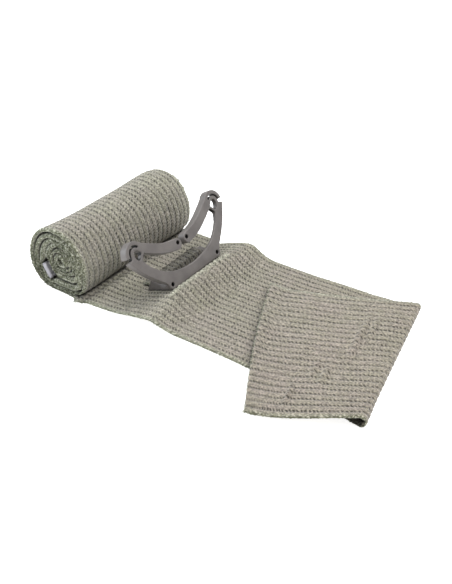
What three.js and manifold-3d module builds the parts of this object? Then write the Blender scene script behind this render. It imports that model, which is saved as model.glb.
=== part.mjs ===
// Emergency trauma bandage: a knitted elastic wrap, part rolled up, with a moulded pressure applicator.
// Millimetres, +Z up. The roll's axis lies along Y and the strip runs from under it towards +X.
import * as THREE from 'three';
import * as BufferGeometryUtils from 'three/addons/utils/BufferGeometryUtils.js';
import Module from 'manifold-3d';

const wasm = await Module();
wasm.setup();

// Cloth
const WRAP_WIDTH = 100;
const CLOTH = 1.3;
const SEAT_GAP = 0.35;

// Roll
const ROLL_RADIUS = 19.2;
const CORE_RADIUS = 3;
const STEPS_PER_TURN = 20;
const ROLL_SAG = 2.4;
const END_RISE = 2.3;
const SWELL = 1.2;

// Strip, fold and flap, measured from the roll's axis
const STRIP_RUN = 191;
const FOLD_RADIUS = 1.8;
const FLAP_LENGTH = 71;
const FLAP_GAP = 0.6;

// Ridge that carries the applicator
const RIDGE_TOE = 0.8;
const RIDGE_FALL = 24;
const RIDGE_NEAR_SIDE = 0.42;
const RIDGE_FAR_SIDE = 0.62;

// Pleat where the strip comes out from under the roll
const PLEAT_HEIGHT = 1.9;
const PLEAT_REACH = 3;
const PLEAT_INSET = 0.8;

// Applicator: u runs across the strip, v up its face, and w is the depth behind its front face
const APPLICATOR_X = 60.4;
const APPLICATOR_Y = 0.8;
const LEAN = 29.7;
const YAW = 1.4;
const ARC_DEPTH = 2;
const RING_DEPTH = 3.2;
const LIP_DEPTH = 4.2;
const LIP = 1.4;
const ARM_DEPTH = 5.1;
const SLOT_START = 7;
const ARC_WIDTH = 6.2;
const ARM_WIDTH = 6.5;
const BASE_HOLE_SPACING = 43.8;
const ARM_HOLE_SPACING = 8.6;
const ARM_HOLE_HEIGHT = 18;
const HOLE_DIAMETER = 2.6;
const BASE_HOLE_DEPTH = 5;
const BOSS_RADIUS = 2.7;
const RING_SPACING = 74.6;
const RING_HEIGHT = 25.6;
const RING_RADIUS = 4;
const SLIT = 1.2;
const HOOK_WIDTH = 2.3;
const HOOK_END = 132;
const SLIT_FROM = -30;
const SLIT_TO = 122;
const FOOT_WIDTH = 48;
const FOOT_DEPTH = 18.5;
const FOOT_TOP_DEPTH = 12.6;
const FOOT_HEIGHT = 8.7;
const FOOT_RISE = 3.5;
const SLOT_WIDTH = 41;
const SLOT_GAP = 2.6;

// Strap over the foot's rear bar
const STRAP = 1.2;
const STRAP_SIDE_GAP = 1;
const STRAP_TAIL = 6;

// Closure bar in the roll's core
const BAR_WIDTH = 10;
const BAR_THICKNESS = 3.2;
const BAR_INSET = 0;
const BAR_LENGTH = 88;

// The whole thing's middle, so that the origin is at the bottom centre of its box
const ORIGIN_X = 93.2;
const ORIGIN_Y = -17.2;

const TAU = 2 * Math.PI;
const radians = THREE.MathUtils.degToRad;

const mix = (a, b, k) => a + (b - a) * k;

const smooth = (a) => {
  const k = Math.min(Math.max(a, 0), 1);
  return k * k * (3 - 2 * k);
};

// Reads a table of rows with named columns at any place along its first column
function table(columns, rows) {
  return (at) => {
    let i = 0;
    while (i < rows.length - 2 && at > rows[i + 1][0]) i += 1;
    const k = (at - rows[i][0]) / (rows[i + 1][0] - rows[i][0]);
    return Object.fromEntries(columns.map((name, c) => [name, mix(rows[i][c], rows[i + 1][c], k)]));
  };
}

// Closes a grid of centre points into a wall of even thickness
function clothSolid(grid, thickness) {
  const rows = grid.length;
  const columns = grid[0].length;
  const normals = grid.map((row, i) => row.map((_, j) => {
    const along = new THREE.Vector3()
      .subVectors(grid[Math.min(i + 1, rows - 1)][j], grid[Math.max(i - 1, 0)][j]);
    const across = new THREE.Vector3()
      .subVectors(row[Math.min(j + 1, columns - 1)], row[Math.max(j - 1, 0)]);
    return along.cross(across).normalize();
  }));
  const positions = [];
  for (const side of [1, -1]) {
    grid.forEach((row, i) => row.forEach((point, j) => {
      positions.push(...point.clone().addScaledVector(normals[i][j], side * thickness / 2).toArray());
    }));
  }
  const index = [];
  const at = (side, i, j) => side * rows * columns + i * columns + j;
  const quad = (a, b, c, d) => index.push(a, b, c, a, c, d);
  const right = columns - 1;
  const last = rows - 1;
  for (let i = 0; i < last; i += 1) {
    for (let j = 0; j < right; j += 1) {
      quad(at(0, i, j), at(0, i + 1, j), at(0, i + 1, j + 1), at(0, i, j + 1));
      quad(at(1, i, j), at(1, i, j + 1), at(1, i + 1, j + 1), at(1, i + 1, j));
    }
    quad(at(0, i, 0), at(1, i, 0), at(1, i + 1, 0), at(0, i + 1, 0));
    quad(at(0, i, right), at(0, i + 1, right), at(1, i + 1, right), at(1, i, right));
  }
  for (let j = 0; j < right; j += 1) {
    quad(at(0, 0, j), at(0, 0, j + 1), at(1, 0, j + 1), at(1, 0, j));
    quad(at(0, last, j), at(1, last, j), at(1, last, j + 1), at(0, last, j + 1));
  }
  const geometry = new THREE.BufferGeometry();
  geometry.setAttribute('position', new THREE.Float32BufferAttribute(positions, 3));
  geometry.setIndex(index);
  return geometry;
}

// Roll: from the floor the cloth winds up the back, over the top and down the front, inwards.
// Each slip moves the turns inside it off centre, over one turn: its direction is in degrees from
// straight down towards the back, and its size a share of the roll's radius.
const PITCH = CLOTH + SEAT_GAP;
const SLIP_SHARES = { crescent: 0.036, inner: 0.06, bar: 0.185 };
const slipSum = Object.values(SLIP_SHARES).reduce((sum, share) => sum + share);
const TURNS = (ROLL_RADIUS * (1 - slipSum) - CLOTH / 2 - CORE_RADIUS) / PITCH;
const BAR_TURN = 2.05;
const BAR_SIDE = 48;
const HALF_TURN = 180;
const SLIPS = [
  { turn: 0.08 * TURNS, share: SLIP_SHARES.crescent, towards: -35 },
  { turn: 0.57 * TURNS, share: SLIP_SHARES.inner, towards: BAR_SIDE },
  { turn: BAR_TURN, share: SLIP_SHARES.bar, towards: BAR_SIDE + HALF_TURN },
];

function rollAt(turn) {
  const at = { x: 0, z: ROLL_RADIUS, radius: ROLL_RADIUS - CLOTH / 2 - PITCH * turn };
  for (const slip of SLIPS) {
    const d = slip.share * ROLL_RADIUS * smooth(turn - slip.turn);
    at.x -= d * Math.sin(radians(slip.towards));
    at.z -= d * Math.cos(radians(slip.towards));
    at.radius -= d;
  }
  return at;
}

// The roll sags into an egg shape, fullest at the top of the back and low in front: how far each
// turn stands from the axis, by its place round the roll in shares of a turn
const roundRoll = table(['place', 'share'], [
  [0, 1], [0.04, 1.005], [0.083, 1.02], [0.15, 1.05], [0.205, 1.07], [0.267, 1.075], [0.4, 1.07],
  [0.445, 1.04],
  [0.5, 1], [0.56, 0.985], [0.61, 0.98], [0.67, 0.98], [0.73, 1.03], [0.78, 1.1], [0.82, 1.16],
  [0.86, 1.17], [0.9, 1.12], [0.955, 1.03], [1, 1],
]);

// A point on the roll's section, an inset closer to the axis than the cloth's middle
function rollPoint(turn, inset) {
  const angle = TAU * turn;
  const lifted = smooth((1 - Math.cos(angle)) / 0.35);
  const { x, z, radius } = rollAt(turn);
  const r = radius * roundRoll(turn - Math.floor(turn)).share - inset;
  return { x: x + ROLL_SAG * lifted - r * Math.sin(angle), z: z - r * Math.cos(angle), angle, lifted };
}

// Across the wrap from its near edge at -1 to its far edge at 1: the roll's swell in shares of SWELL,
// and how far the outermost turn's near end stands up in shares of END_RISE
const COLUMNS = [-1, -0.93, -0.8, -0.55, -0.27, 0, 0.27, 0.55, 0.8, 0.93, 1];
const WAIST = 0.2;
const swellAcross = table(['t', 'share'], [
  [-1, -0.1], [-0.93, 0.15], [-0.8, 0.3], [-0.27, -WAIST], [0.27, -WAIST], [0.8, 0.3], [0.93, -0.3],
  [1, -1.2],
]);
const riseAcross = table(['t', 'share'], [[-1, 1], [-0.93, 0.66], [-0.8, 0.25], [-0.55, 0], [1, 0]]);

// How far each turn's ends stand out, as shares of the width
const nearOut = (turn) => 0.002 + 0.007 * Math.sin(TAU * turn * 0.77) + 0.012 * (1 - smooth(2 * turn));
const farOut = (turn) => 0.01 + 0.008 * Math.sin(TAU * (turn * 0.61 + 0.3));

function rollRow(turn) {
  const { x, z, angle, lifted } = rollPoint(turn, 0);
  const near = -WRAP_WIDTH * (0.5 + nearOut(turn) * lifted);
  const far = WRAP_WIDTH * (0.5 + farOut(turn) * lifted);
  return COLUMNS.map((t) => {
    const out = SWELL * swellAcross(t).share * lifted;
    const up = END_RISE * riseAcross(t).share * lifted * (1 - smooth(turn - 0.3));
    const y = mix(near, far, (t + 1) / 2);
    return new THREE.Vector3(x - out * Math.sin(angle), y, z + up - out * Math.cos(angle));
  });
}

// The foot's underside and top, as heights at a depth behind the face
const FOOT_FRONT = -BOSS_RADIUS + 0.1;
const footUnder = (w) => FOOT_FRONT + FOOT_RISE * w / FOOT_DEPTH;
const footTop = (w) => FOOT_FRONT
  + FOOT_HEIGHT * mix(0.57, 1, (w - SLOT_START) / (FOOT_TOP_DEPTH - SLOT_START));

// Where the applicator's own heights and depths lie over the strip
const leanSin = Math.sin(radians(LEAN));
const leanCos = Math.cos(radians(LEAN));
const APPLICATOR_Z = CLOTH + RIDGE_TOE + SEAT_GAP + FOOT_DEPTH * leanSin - footUnder(FOOT_DEPTH) * leanCos;
const onStrip = (w, v) => ({
  x: APPLICATOR_X - w * leanCos - v * leanSin,
  z: APPLICATOR_Z - w * leanSin + v * leanCos,
});

// Ridge: it rises under the foot, parallel to it, and falls away in front in shares of RIDGE_FALL
const heel = onStrip(FOOT_DEPTH, footUnder(FOOT_DEPTH));
const toe = onStrip(0, footUnder(0));
const RIDGE_TOP = toe.z - SEAT_GAP - CLOTH;
const ridgeFall = table(['d', 'share'], [
  [0, 1], [0.12, 1.1], [0.25, 1.08], [0.4, 0.78], [0.6, 0.36], [0.8, 0.1], [1, 0], [20, 0],
]);
const ridgeRise = table(['d', 'share'], [
  [-20, 0], [-0.45, 0], [-0.2, 0.03], [0, RIDGE_TOE / RIDGE_TOP], [1, 1],
]);

const PLEAT_X = ROLL_RADIUS - PLEAT_INSET;

function stripLift(x, t) {
  const pleat = PLEAT_HEIGHT * smooth(1 - Math.abs(x - PLEAT_X) / PLEAT_REACH);
  const share = x > toe.x
    ? ridgeFall((x - toe.x) / RIDGE_FALL).share
    : ridgeRise((x - heel.x) / (toe.x - heel.x)).share;
  const side = t < 0 ? RIDGE_NEAR_SIDE : RIDGE_FAR_SIDE;
  return pleat + RIDGE_TOP * share * mix(side, 1, smooth(1.5 * (1 - Math.abs(t))));
}

// Strip: near and far edge, along as shares of STRIP_RUN and out as shares of WRAP_WIDTH
const stripEdges = table(['s', 'nearAlong', 'nearOut', 'farAlong', 'farOut'], [
  [0, 0, -0.5, 0, 0.5],
  [0.07, 0.07, -0.51, 0.07, 0.49],
  [0.092, 0.092, -0.55, 0.092, 0.49],
  [0.12, 0.12, -0.515, 0.12, 0.49],
  [0.19, 0.19, -0.508, 0.19, 0.49],
  [0.235, 0.235, -0.503, 0.235, 0.452],
  [0.27, 0.27, -0.498, 0.27, 0.478],
  [0.33, 0.33, -0.497, 0.33, 0.498],
  [0.42, 0.42, -0.496, 0.42, 0.475],
  [0.6, 0.6, -0.506, 0.6, 0.468],
  [0.7, 0.7, -0.52, 0.69, 0.475],
  [0.8, 0.82, -0.545, 0.77, 0.475],
  [0.9, 0.935, -0.575, 0.85, 0.485],
  [1, 1.058, -0.615, 0.925, 0.485],
]);

function stripRow(s) {
  const edge = stripEdges(s);
  return COLUMNS.map((t) => {
    const k = (t + 1) / 2;
    const x = STRIP_RUN * mix(edge.nearAlong, edge.farAlong, k);
    const y = WRAP_WIDTH * mix(edge.nearOut, edge.farOut, k);
    return new THREE.Vector3(x, y, CLOTH / 2 + stripLift(x, t));
  });
}

// Flap: how far its edges have gone back from the fold, along as shares of FLAP_LENGTH and out as
// shares of WRAP_WIDTH
const flapEdges = table(['s', 'nearBack', 'nearOut', 'farBack', 'farOut'], [
  [0, 0, 0, 0, 0],
  [0.25, 0.24, -0.103, 0.27, -0.08],
  [0.5, 0.465, -0.18, 0.555, -0.155],
  [0.75, 0.6, -0.22, 0.82, -0.227],
  [1, 0.7, -0.249, 1.09, -0.295],
]);
const FLAP_BOW = 0.03;

function flapRow(s) {
  const edge = flapEdges(s);
  const height = CLOTH / 2 + mix(2 * FOLD_RADIUS, CLOTH + FLAP_GAP, smooth(s * 1.6));
  return stripRow(1).map((fold, j) => {
    const k = (COLUMNS[j] + 1) / 2;
    const bow = FLAP_BOW * s * (1 - COLUMNS[j] ** 2);
    const x = fold.x - FLAP_LENGTH * (mix(edge.nearBack, edge.farBack, k) + bow);
    const y = fold.y + WRAP_WIDTH * mix(edge.nearOut, edge.farOut, k);
    return new THREE.Vector3(x, y, height);
  });
}

// The fold turns about the strip's slanted end
function foldRows(steps) {
  const start = stripRow(1);
  const line = new THREE.Vector3().subVectors(start[COLUMNS.length - 1], start[0]).normalize();
  const out = new THREE.Vector3(line.y, -line.x, 0);
  return Array.from({ length: steps - 1 }, (_, i) => {
    const angle = Math.PI * (i + 1) / steps;
    const rise = new THREE.Vector3(0, 0, FOLD_RADIUS * (1 - Math.cos(angle)));
    return start.map((p) => p.clone().addScaledVector(out, FOLD_RADIUS * Math.sin(angle)).add(rise));
  });
}

// Where the strip's and the flap's cross rows lie: where the strip bends, and in shares elsewhere
const STRIP_STOPS = [0, 0.035, 0.07, 0.165, 0.19, 0.52, 0.6, 0.7, 0.8, 0.9, 1];
const BENDS = [
  ...[-0.9, -0.45, 0, 0.45, 1].map((d) => PLEAT_X + d * PLEAT_REACH),
  ...[-0.4, -0.2, 0, 0.1, 0.35, 0.7, 1].map((d) => mix(heel.x, toe.x, d)),
  ...[0.12, 0.25, 0.4, 0.6, 0.8, 1].map((d) => toe.x + d * RIDGE_FALL),
].map((x) => x / STRIP_RUN);
const FLAP_STOPS = [0, 0.16, 0.33, 0.5, 0.75, 1];

function wrapGeometry() {
  const rollSteps = Math.round(TURNS * STEPS_PER_TURN);
  const roll = Array.from({ length: rollSteps }, (_, i) => rollRow(TURNS * (rollSteps - i) / rollSteps));
  const strip = [...STRIP_STOPS, ...BENDS].sort((a, b) => a - b).map(stripRow);
  return clothSolid([...roll, ...strip, ...foldRows(6), ...FLAP_STOPS.map(flapRow)], CLOTH);
}

// Booleans between closed meshes
function toManifold(geometry) {
  const g = geometry.clone();
  g.deleteAttribute('normal');
  g.deleteAttribute('uv');
  const merged = BufferGeometryUtils.mergeVertices(g, 1e-4);
  return new wasm.Manifold(new wasm.Mesh({
    numProp: 3,
    vertProperties: Float32Array.from(merged.attributes.position.array),
    triVerts: Uint32Array.from(merged.index.array),
  }));
}

function fromManifold(solid) {
  const mesh = solid.getMesh();
  const geometry = new THREE.BufferGeometry();
  geometry.setAttribute('position', new THREE.BufferAttribute(Float32Array.from(mesh.vertProperties), 3));
  geometry.setIndex(Array.from(mesh.triVerts));
  return geometry;
}

// A shape drawn in u and v, between two depths behind the face
function plate(shape, front, back, curveSegments = 6) {
  const options = { depth: back - front, bevelEnabled: false, curveSegments };
  const geometry = new THREE.ExtrudeGeometry(shape, options);
  geometry.translate(0, 0, -back);
  return toManifold(geometry);
}

// A shape drawn in depth and height, extruded along u
function crosswise(points, width) {
  const shape = new THREE.Shape(points.map(([w, v]) => new THREE.Vector2(-w, v)));
  const geometry = new THREE.ExtrudeGeometry(shape, { depth: width, bevelEnabled: false });
  geometry.translate(0, 0, -width / 2);
  geometry.applyMatrix4(new THREE.Matrix4().makeBasis(
    new THREE.Vector3(0, 0, 1),
    new THREE.Vector3(0, 1, 0),
    new THREE.Vector3(-1, 0, 0),
  ));
  return toManifold(geometry);
}

const vectors = (points) => points.map((p) => new THREE.Vector2(...p));
const mirrored = (points) => points.map(([u, v]) => [-u, v]).reverse();

function disc(u, v, radius) {
  const shape = new THREE.Shape();
  shape.absarc(u, v, radius, 0, TAU, false);
  return shape;
}

const BASE_U = BASE_HOLE_SPACING / 2;
const ARM_U = ARM_HOLE_SPACING / 2;
const RING_U = RING_SPACING / 2;
const HOOK_RADIUS = RING_RADIUS + SLIT + HOOK_WIDTH;

// The arc's outer edge, in shares of the way from the foot to the shoulder beside the hook
const ARC_FOOT = { u: BASE_U + 0.75 * BOSS_RADIUS, v: FOOT_FRONT + 0.3 * BOSS_RADIUS };
const SHOULDER = { u: RING_U + HOOK_RADIUS - 0.2, v: RING_HEIGHT - HOOK_WIDTH };
const ARC_EDGE = [[0.13, 0.19], [0.44, 0.42], [0.7, 0.65], [0.86, 0.83], [1, 1]]
  .map(([a, b]) => [mix(ARC_FOOT.u, SHOULDER.u, a), mix(ARC_FOOT.v, SHOULDER.v, b)]);

// The arc, from ring to ring: its inner edge in shares of the way from the middle to the ring
function arcShape() {
  const end = { u: RING_U - 0.8 * RING_RADIUS, v: RING_HEIGHT - 1.6 * RING_RADIUS };
  const crown = FOOT_FRONT + ARC_WIDTH;
  const inner = [[1, 1], [0.9, 0.72], [0.74, 0.42], [0.56, 0.21], [0.35, 0.08], [0.12, 0.01]]
    .map(([a, b]) => [end.u * a, mix(crown, end.v, b)]);
  const shape = new THREE.Shape();
  shape.moveTo(-BASE_U, FOOT_FRONT);
  shape.lineTo(BASE_U, FOOT_FRONT);
  shape.lineTo(ARC_FOOT.u, ARC_FOOT.v);
  shape.splineThru(vectors(ARC_EDGE));
  shape.lineTo(RING_U, RING_HEIGHT);
  shape.lineTo(...inner[0]);
  shape.splineThru(vectors([...inner.slice(1), ...mirrored(inner)]));
  shape.lineTo(-RING_U, RING_HEIGHT);
  const back = mirrored(ARC_EDGE);
  shape.lineTo(...back[0]);
  shape.splineThru(vectors([...back.slice(1), [-ARC_FOOT.u, ARC_FOOT.v]]));
  shape.closePath();
  return shape;
}

// The lip along the arc's right outer edge
function lipShape() {
  const within = ARC_EDGE.map(([u, v]) => [u - 0.8 * LIP, v + 0.6 * LIP]).reverse();
  const shape = new THREE.Shape();
  shape.moveTo(...ARC_EDGE[0]);
  shape.splineThru(vectors(ARC_EDGE.slice(1)));
  shape.lineTo(SHOULDER.u - LIP, SHOULDER.v);
  shape.splineThru(vectors(within.slice(1)));
  shape.closePath();
  return shape;
}

// The right arm: edges in shares of the way from its boss to the ring
const ARM_EDGES = [[0, 0], [0.28, 0.13], [0.53, 0.36], [0.79, 0.69], [1, 1]];

function armShape() {
  const boss = { u: ARM_U + 0.5, v: ARM_HOLE_HEIGHT - 0.55 };
  const top = { u: RING_U - 1.2 * RING_RADIUS, v: RING_HEIGHT + 1.35 * RING_RADIUS };
  const bottom = { u: RING_U - 1.6 * RING_RADIUS, v: RING_HEIGHT - 0.5 * RING_RADIUS };
  const half = ARM_WIDTH / 2;
  const upper = ARM_EDGES.map(([a, b]) => [mix(boss.u, top.u, a), mix(boss.v + half, top.v, b)]);
  const lower = ARM_EDGES.map(([a, b]) => [mix(boss.u, bottom.u, a), mix(boss.v - half, bottom.v, b)]);
  const shape = new THREE.Shape();
  shape.moveTo(...lower[0]);
  shape.splineThru(vectors(lower.slice(1)));
  shape.lineTo(RING_U - 0.5 * RING_RADIUS, RING_HEIGHT);
  shape.lineTo(...upper[upper.length - 1]);
  shape.splineThru(vectors(upper.reverse().slice(1)));
  shape.absarc(boss.u, boss.v, half, Math.PI / 2, 1.5 * Math.PI, false);
  return shape;
}

// A sector round the right ring, angles in degrees from straight out
function ringSector(inner, outer, from, to) {
  const shape = new THREE.Shape();
  shape.absarc(RING_U, RING_HEIGHT, outer, radians(from), radians(to), false);
  shape.absarc(RING_U, RING_HEIGHT, inner, radians(to), radians(from), true);
  shape.closePath();
  return shape;
}

// The right ring's hole and crossbar, in shares of RING_RADIUS from its centre
const atRing = (u, v) => [RING_U + u * RING_RADIUS, RING_HEIGHT + v * RING_RADIUS];

function ringHoleShape() {
  const shape = new THREE.Shape();
  shape.moveTo(...atRing(-1.05, -0.15));
  shape.lineTo(...atRing(-0.3, -0.95));
  shape.quadraticCurveTo(...atRing(0.42, -0.75), ...atRing(0.42, 0));
  shape.quadraticCurveTo(...atRing(0.4, 0.52), ...atRing(-0.1, 0.52));
  shape.quadraticCurveTo(...atRing(-0.7, 0.4), ...atRing(-1.05, -0.15));
  return shape;
}

function crossbarShape() {
  const corners = [[-1.5, -0.2], [-0.52, -1.4], [-0.2, -1], [-1.2, 0.2]];
  return new THREE.Shape(vectors(corners.map(([u, v]) => atRing(u, v))));
}

// One side's ring, arm and hook, with the slit cut through
function rightSide() {
  const deep = [armShape(), ringSector(RING_RADIUS + SLIT, HOOK_RADIUS, 0, HOOK_END)];
  const thin = [disc(RING_U, RING_HEIGHT, RING_RADIUS), crossbarShape()];
  const solid = [...deep.map((shape) => plate(shape, 0, ARM_DEPTH)), plate(lipShape(), 0, LIP_DEPTH),
    ...thin.map((shape) => plate(shape, 0, RING_DEPTH))].reduce((a, b) => a.add(b));
  const slit = ringSector(RING_RADIUS, RING_RADIUS + SLIT, SLIT_FROM, SLIT_TO);
  return solid.subtract(plate(slit, -1, ARM_DEPTH + 1));
}

// The arc is thin, and deepens towards its rings
function arcSolid() {
  const behind = crosswise([
    [ARC_DEPTH, -FOOT_HEIGHT],
    [ARC_DEPTH, RING_HEIGHT - 2.4 * RING_RADIUS],
    [RING_DEPTH, RING_HEIGHT - 0.8 * RING_RADIUS],
    [SLOT_START, RING_HEIGHT - 0.8 * RING_RADIUS],
    [SLOT_START, -FOOT_HEIGHT],
  ], 2 * RING_SPACING);
  return plate(arcShape(), 0, RING_DEPTH).subtract(behind);
}

function mirror(solid) {
  const geometry = fromManifold(solid);
  geometry.scale(-1, 1, 1);
  const index = Array.from(geometry.index.array);
  geometry.setIndex(index.map((_, i) => index[i - (i % 3) + [0, 2, 1][i % 3]]));
  return toManifold(geometry);
}

function footSolid() {
  const side = crosswise([
    [0.5, footUnder(0.5)],
    [FOOT_DEPTH, footUnder(FOOT_DEPTH)],
    [FOOT_TOP_DEPTH, footTop(FOOT_TOP_DEPTH)],
    [SLOT_START, footTop(SLOT_START)],
    [0.5, FOOT_FRONT + 1],
  ], FOOT_WIDTH);
  const slotBack = SLOT_START + SLOT_GAP;
  const slot = crosswise([
    [SLOT_START, -FOOT_HEIGHT],
    [slotBack, -FOOT_HEIGHT],
    [slotBack, FOOT_HEIGHT],
    [SLOT_START, FOOT_HEIGHT],
  ], SLOT_WIDTH);
  return side.subtract(slot);
}

function applicatorGeometry() {
  const right = rightSide();
  let solid = arcSolid().add(right).add(mirror(right));
  for (const side of [-1, 1]) {
    solid = solid.add(plate(disc(side * BASE_U, 0, BOSS_RADIUS), 0, SLOT_START));
  }
  const below = crosswise([
    [-1, footUnder(-1)],
    [-1, footUnder(-1) - ARC_WIDTH],
    [FOOT_DEPTH + 1, footUnder(FOOT_DEPTH + 1) - ARC_WIDTH],
    [FOOT_DEPTH + 1, footUnder(FOOT_DEPTH + 1)],
  ], RING_SPACING);
  solid = solid.add(footSolid()).subtract(below);
  const hole = plate(ringHoleShape(), -1, ARM_DEPTH + 1, 4);
  solid = solid.subtract(hole).subtract(mirror(hole));
  for (const side of [-1, 1]) {
    solid = solid.subtract(plate(disc(side * BASE_U, 0, HOLE_DIAMETER / 2), -1, BASE_HOLE_DEPTH));
    solid = solid.subtract(plate(disc(side * ARM_U, ARM_HOLE_HEIGHT, HOLE_DIAMETER / 2), -1, ARM_DEPTH + 1));
  }
  return fromManifold(solid);
}

// Strap: its centre line passes the rear bar's corners at an even distance, both ends on the strip
function strapGeometry() {
  const slotBack = SLOT_START + SLOT_GAP;
  const corners = [
    heel,
    onStrip(FOOT_TOP_DEPTH, footTop(FOOT_TOP_DEPTH)),
    onStrip(slotBack, footTop(slotBack)),
    onStrip(slotBack, footUnder(slotBack)),
  ].map(({ x, z }) => new THREE.Vector2(x, z));
  const away = SEAT_GAP + STRAP / 2;
  const faces = corners.slice(1).map((c, i) => {
    const d = c.clone().sub(corners[i]).normalize();
    return new THREE.Vector2(-d.y, d.x);
  });
  const lie = (x) => CLOTH + stripLift(x, 0) + away;
  const first = corners[0].clone().addScaledVector(faces[0], away);
  const path = [
    new THREE.Vector2(first.x - STRAP_TAIL, lie(first.x - STRAP_TAIL)),
    new THREE.Vector2(first.x - STRAP_TAIL / 2, lie(first.x - STRAP_TAIL / 2)),
    new THREE.Vector2(first.x - STRAP, lie(first.x - STRAP)),
    first.clone().lerp(corners[1].clone().addScaledVector(faces[0], away), 0.2),
  ];
  for (const i of [1, 2]) {
    for (const k of [0, 0.5, 1]) {
      const n = faces[i - 1].clone().lerp(faces[i], k).normalize();
      path.push(corners[i].clone().addScaledVector(n, away));
    }
  }
  path.push(corners[3].clone().addScaledVector(faces[2], away));
  const half = SLOT_WIDTH / 2 - STRAP_SIDE_GAP;
  const grid = path.map((p) => [-1, -0.5, 0, 0.5, 1]
    .map((t) => new THREE.Vector3(p.x - APPLICATOR_X, t * half, p.y)));
  return clothSolid(grid, STRAP);
}

// Closure bar: a curved strip along the crescent that the bar's slip leaves between two turns
function barGeometry() {
  const middle = BAR_TURN + 0.08;
  const inside = CLOTH / 2 + SEAT_GAP + WAIST * SWELL;
  const half = BAR_WIDTH / (2 * TAU * (rollAt(middle).radius - inside - BAR_THICKNESS / 2));
  const edge = (depth) => Array.from({ length: 9 }, (_, i) => {
    const { x, z } = rollPoint(middle + half * (i / 4 - 1), inside + depth);
    return [x, z];
  });
  const shape = new THREE.Shape(vectors([...edge(0), ...edge(BAR_THICKNESS).reverse()]));
  const geometry = new THREE.ExtrudeGeometry(shape, { depth: BAR_LENGTH, bevelEnabled: false });
  geometry.rotateX(Math.PI / 2);
  geometry.translate(0, BAR_LENGTH + BAR_INSET - WRAP_WIDTH / 2, 0);
  return geometry;
}

function mesh(name, geometry, color, roughness) {
  const piece = new THREE.Mesh(geometry, new THREE.MeshStandardMaterial({ color, roughness, metalness: 0 }));
  piece.name = name;
  return piece;
}

const wrap = mesh('wrap', wrapGeometry(), 0x9d998c, 0.95);
const bar = mesh('closure_bar', barGeometry(), 0xa7a4ae, 0.45);
const strap = mesh('foot_strap', strapGeometry(), 0x9d998c, 0.95);

// The moulding's own axes: u across, v up the face, and its front face looking out
const applicator = mesh('pressure_applicator', applicatorGeometry(), 0x77736e, 0.5);
applicator.applyMatrix4(new THREE.Matrix4().makeBasis(
  new THREE.Vector3(0, 1, 0),
  new THREE.Vector3(-leanSin, 0, leanCos),
  new THREE.Vector3(leanCos, 0, leanSin),
).setPosition(0, 0, APPLICATOR_Z));

const fitting = new THREE.Group();
fitting.add(applicator, strap);
fitting.position.set(APPLICATOR_X, APPLICATOR_Y, 0);
fitting.rotation.z = radians(YAW);

const bandage = new THREE.Group();
bandage.add(wrap, bar, fitting);
bandage.position.set(-ORIGIN_X, -ORIGIN_Y, 0);

export default bandage;
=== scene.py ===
"""Emergency trauma bandage: a part-rolled knitted wrap with its moulded pressure applicator."""
import math

import bpy
import numpy as np
from bpy.props import FloatProperty, FloatVectorProperty, IntProperty, PointerProperty
from mathutils import Matrix, Vector


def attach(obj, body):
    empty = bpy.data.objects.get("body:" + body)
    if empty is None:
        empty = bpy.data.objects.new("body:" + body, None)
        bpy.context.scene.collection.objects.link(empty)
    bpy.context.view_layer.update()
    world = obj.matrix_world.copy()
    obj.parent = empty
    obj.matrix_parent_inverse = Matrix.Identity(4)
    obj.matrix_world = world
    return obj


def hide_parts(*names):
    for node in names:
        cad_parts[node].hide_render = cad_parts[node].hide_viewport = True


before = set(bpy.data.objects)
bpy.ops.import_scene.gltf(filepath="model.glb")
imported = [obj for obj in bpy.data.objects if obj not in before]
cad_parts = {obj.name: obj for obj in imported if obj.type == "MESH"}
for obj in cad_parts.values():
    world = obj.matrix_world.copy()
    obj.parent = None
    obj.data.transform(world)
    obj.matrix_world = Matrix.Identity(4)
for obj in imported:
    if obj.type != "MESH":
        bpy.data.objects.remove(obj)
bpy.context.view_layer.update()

bl_info = {
    "name": "Emergency trauma bandage",
    "version": (1, 0, 0),
    "blender": (4, 5, 0),
    "location": "View3D > Sidebar > Bandage",
    "description": "Part-rolled knitted bandage with a moulded pressure applicator",
    "category": "Add Mesh",
}

TAU = 2 * math.pi
MM = 0.001
# The middle of the whole on the table, from the roll's axis and the strip's middle line
ORIGIN = Vector((0.0932, -0.0172, 0))
BODY = "root"


def length(name, description, default):
    return FloatProperty(name=name, description=description, default=default, unit="LENGTH", precision=5)


def angle(name, description, degrees):
    return FloatProperty(name=name, description=description, default=math.radians(degrees), unit="ROTATION")


def colour(name, description, default):
    return FloatVectorProperty(name=name, description=description, default=default, subtype="COLOR",
                               size=4, min=0, max=1)


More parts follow.
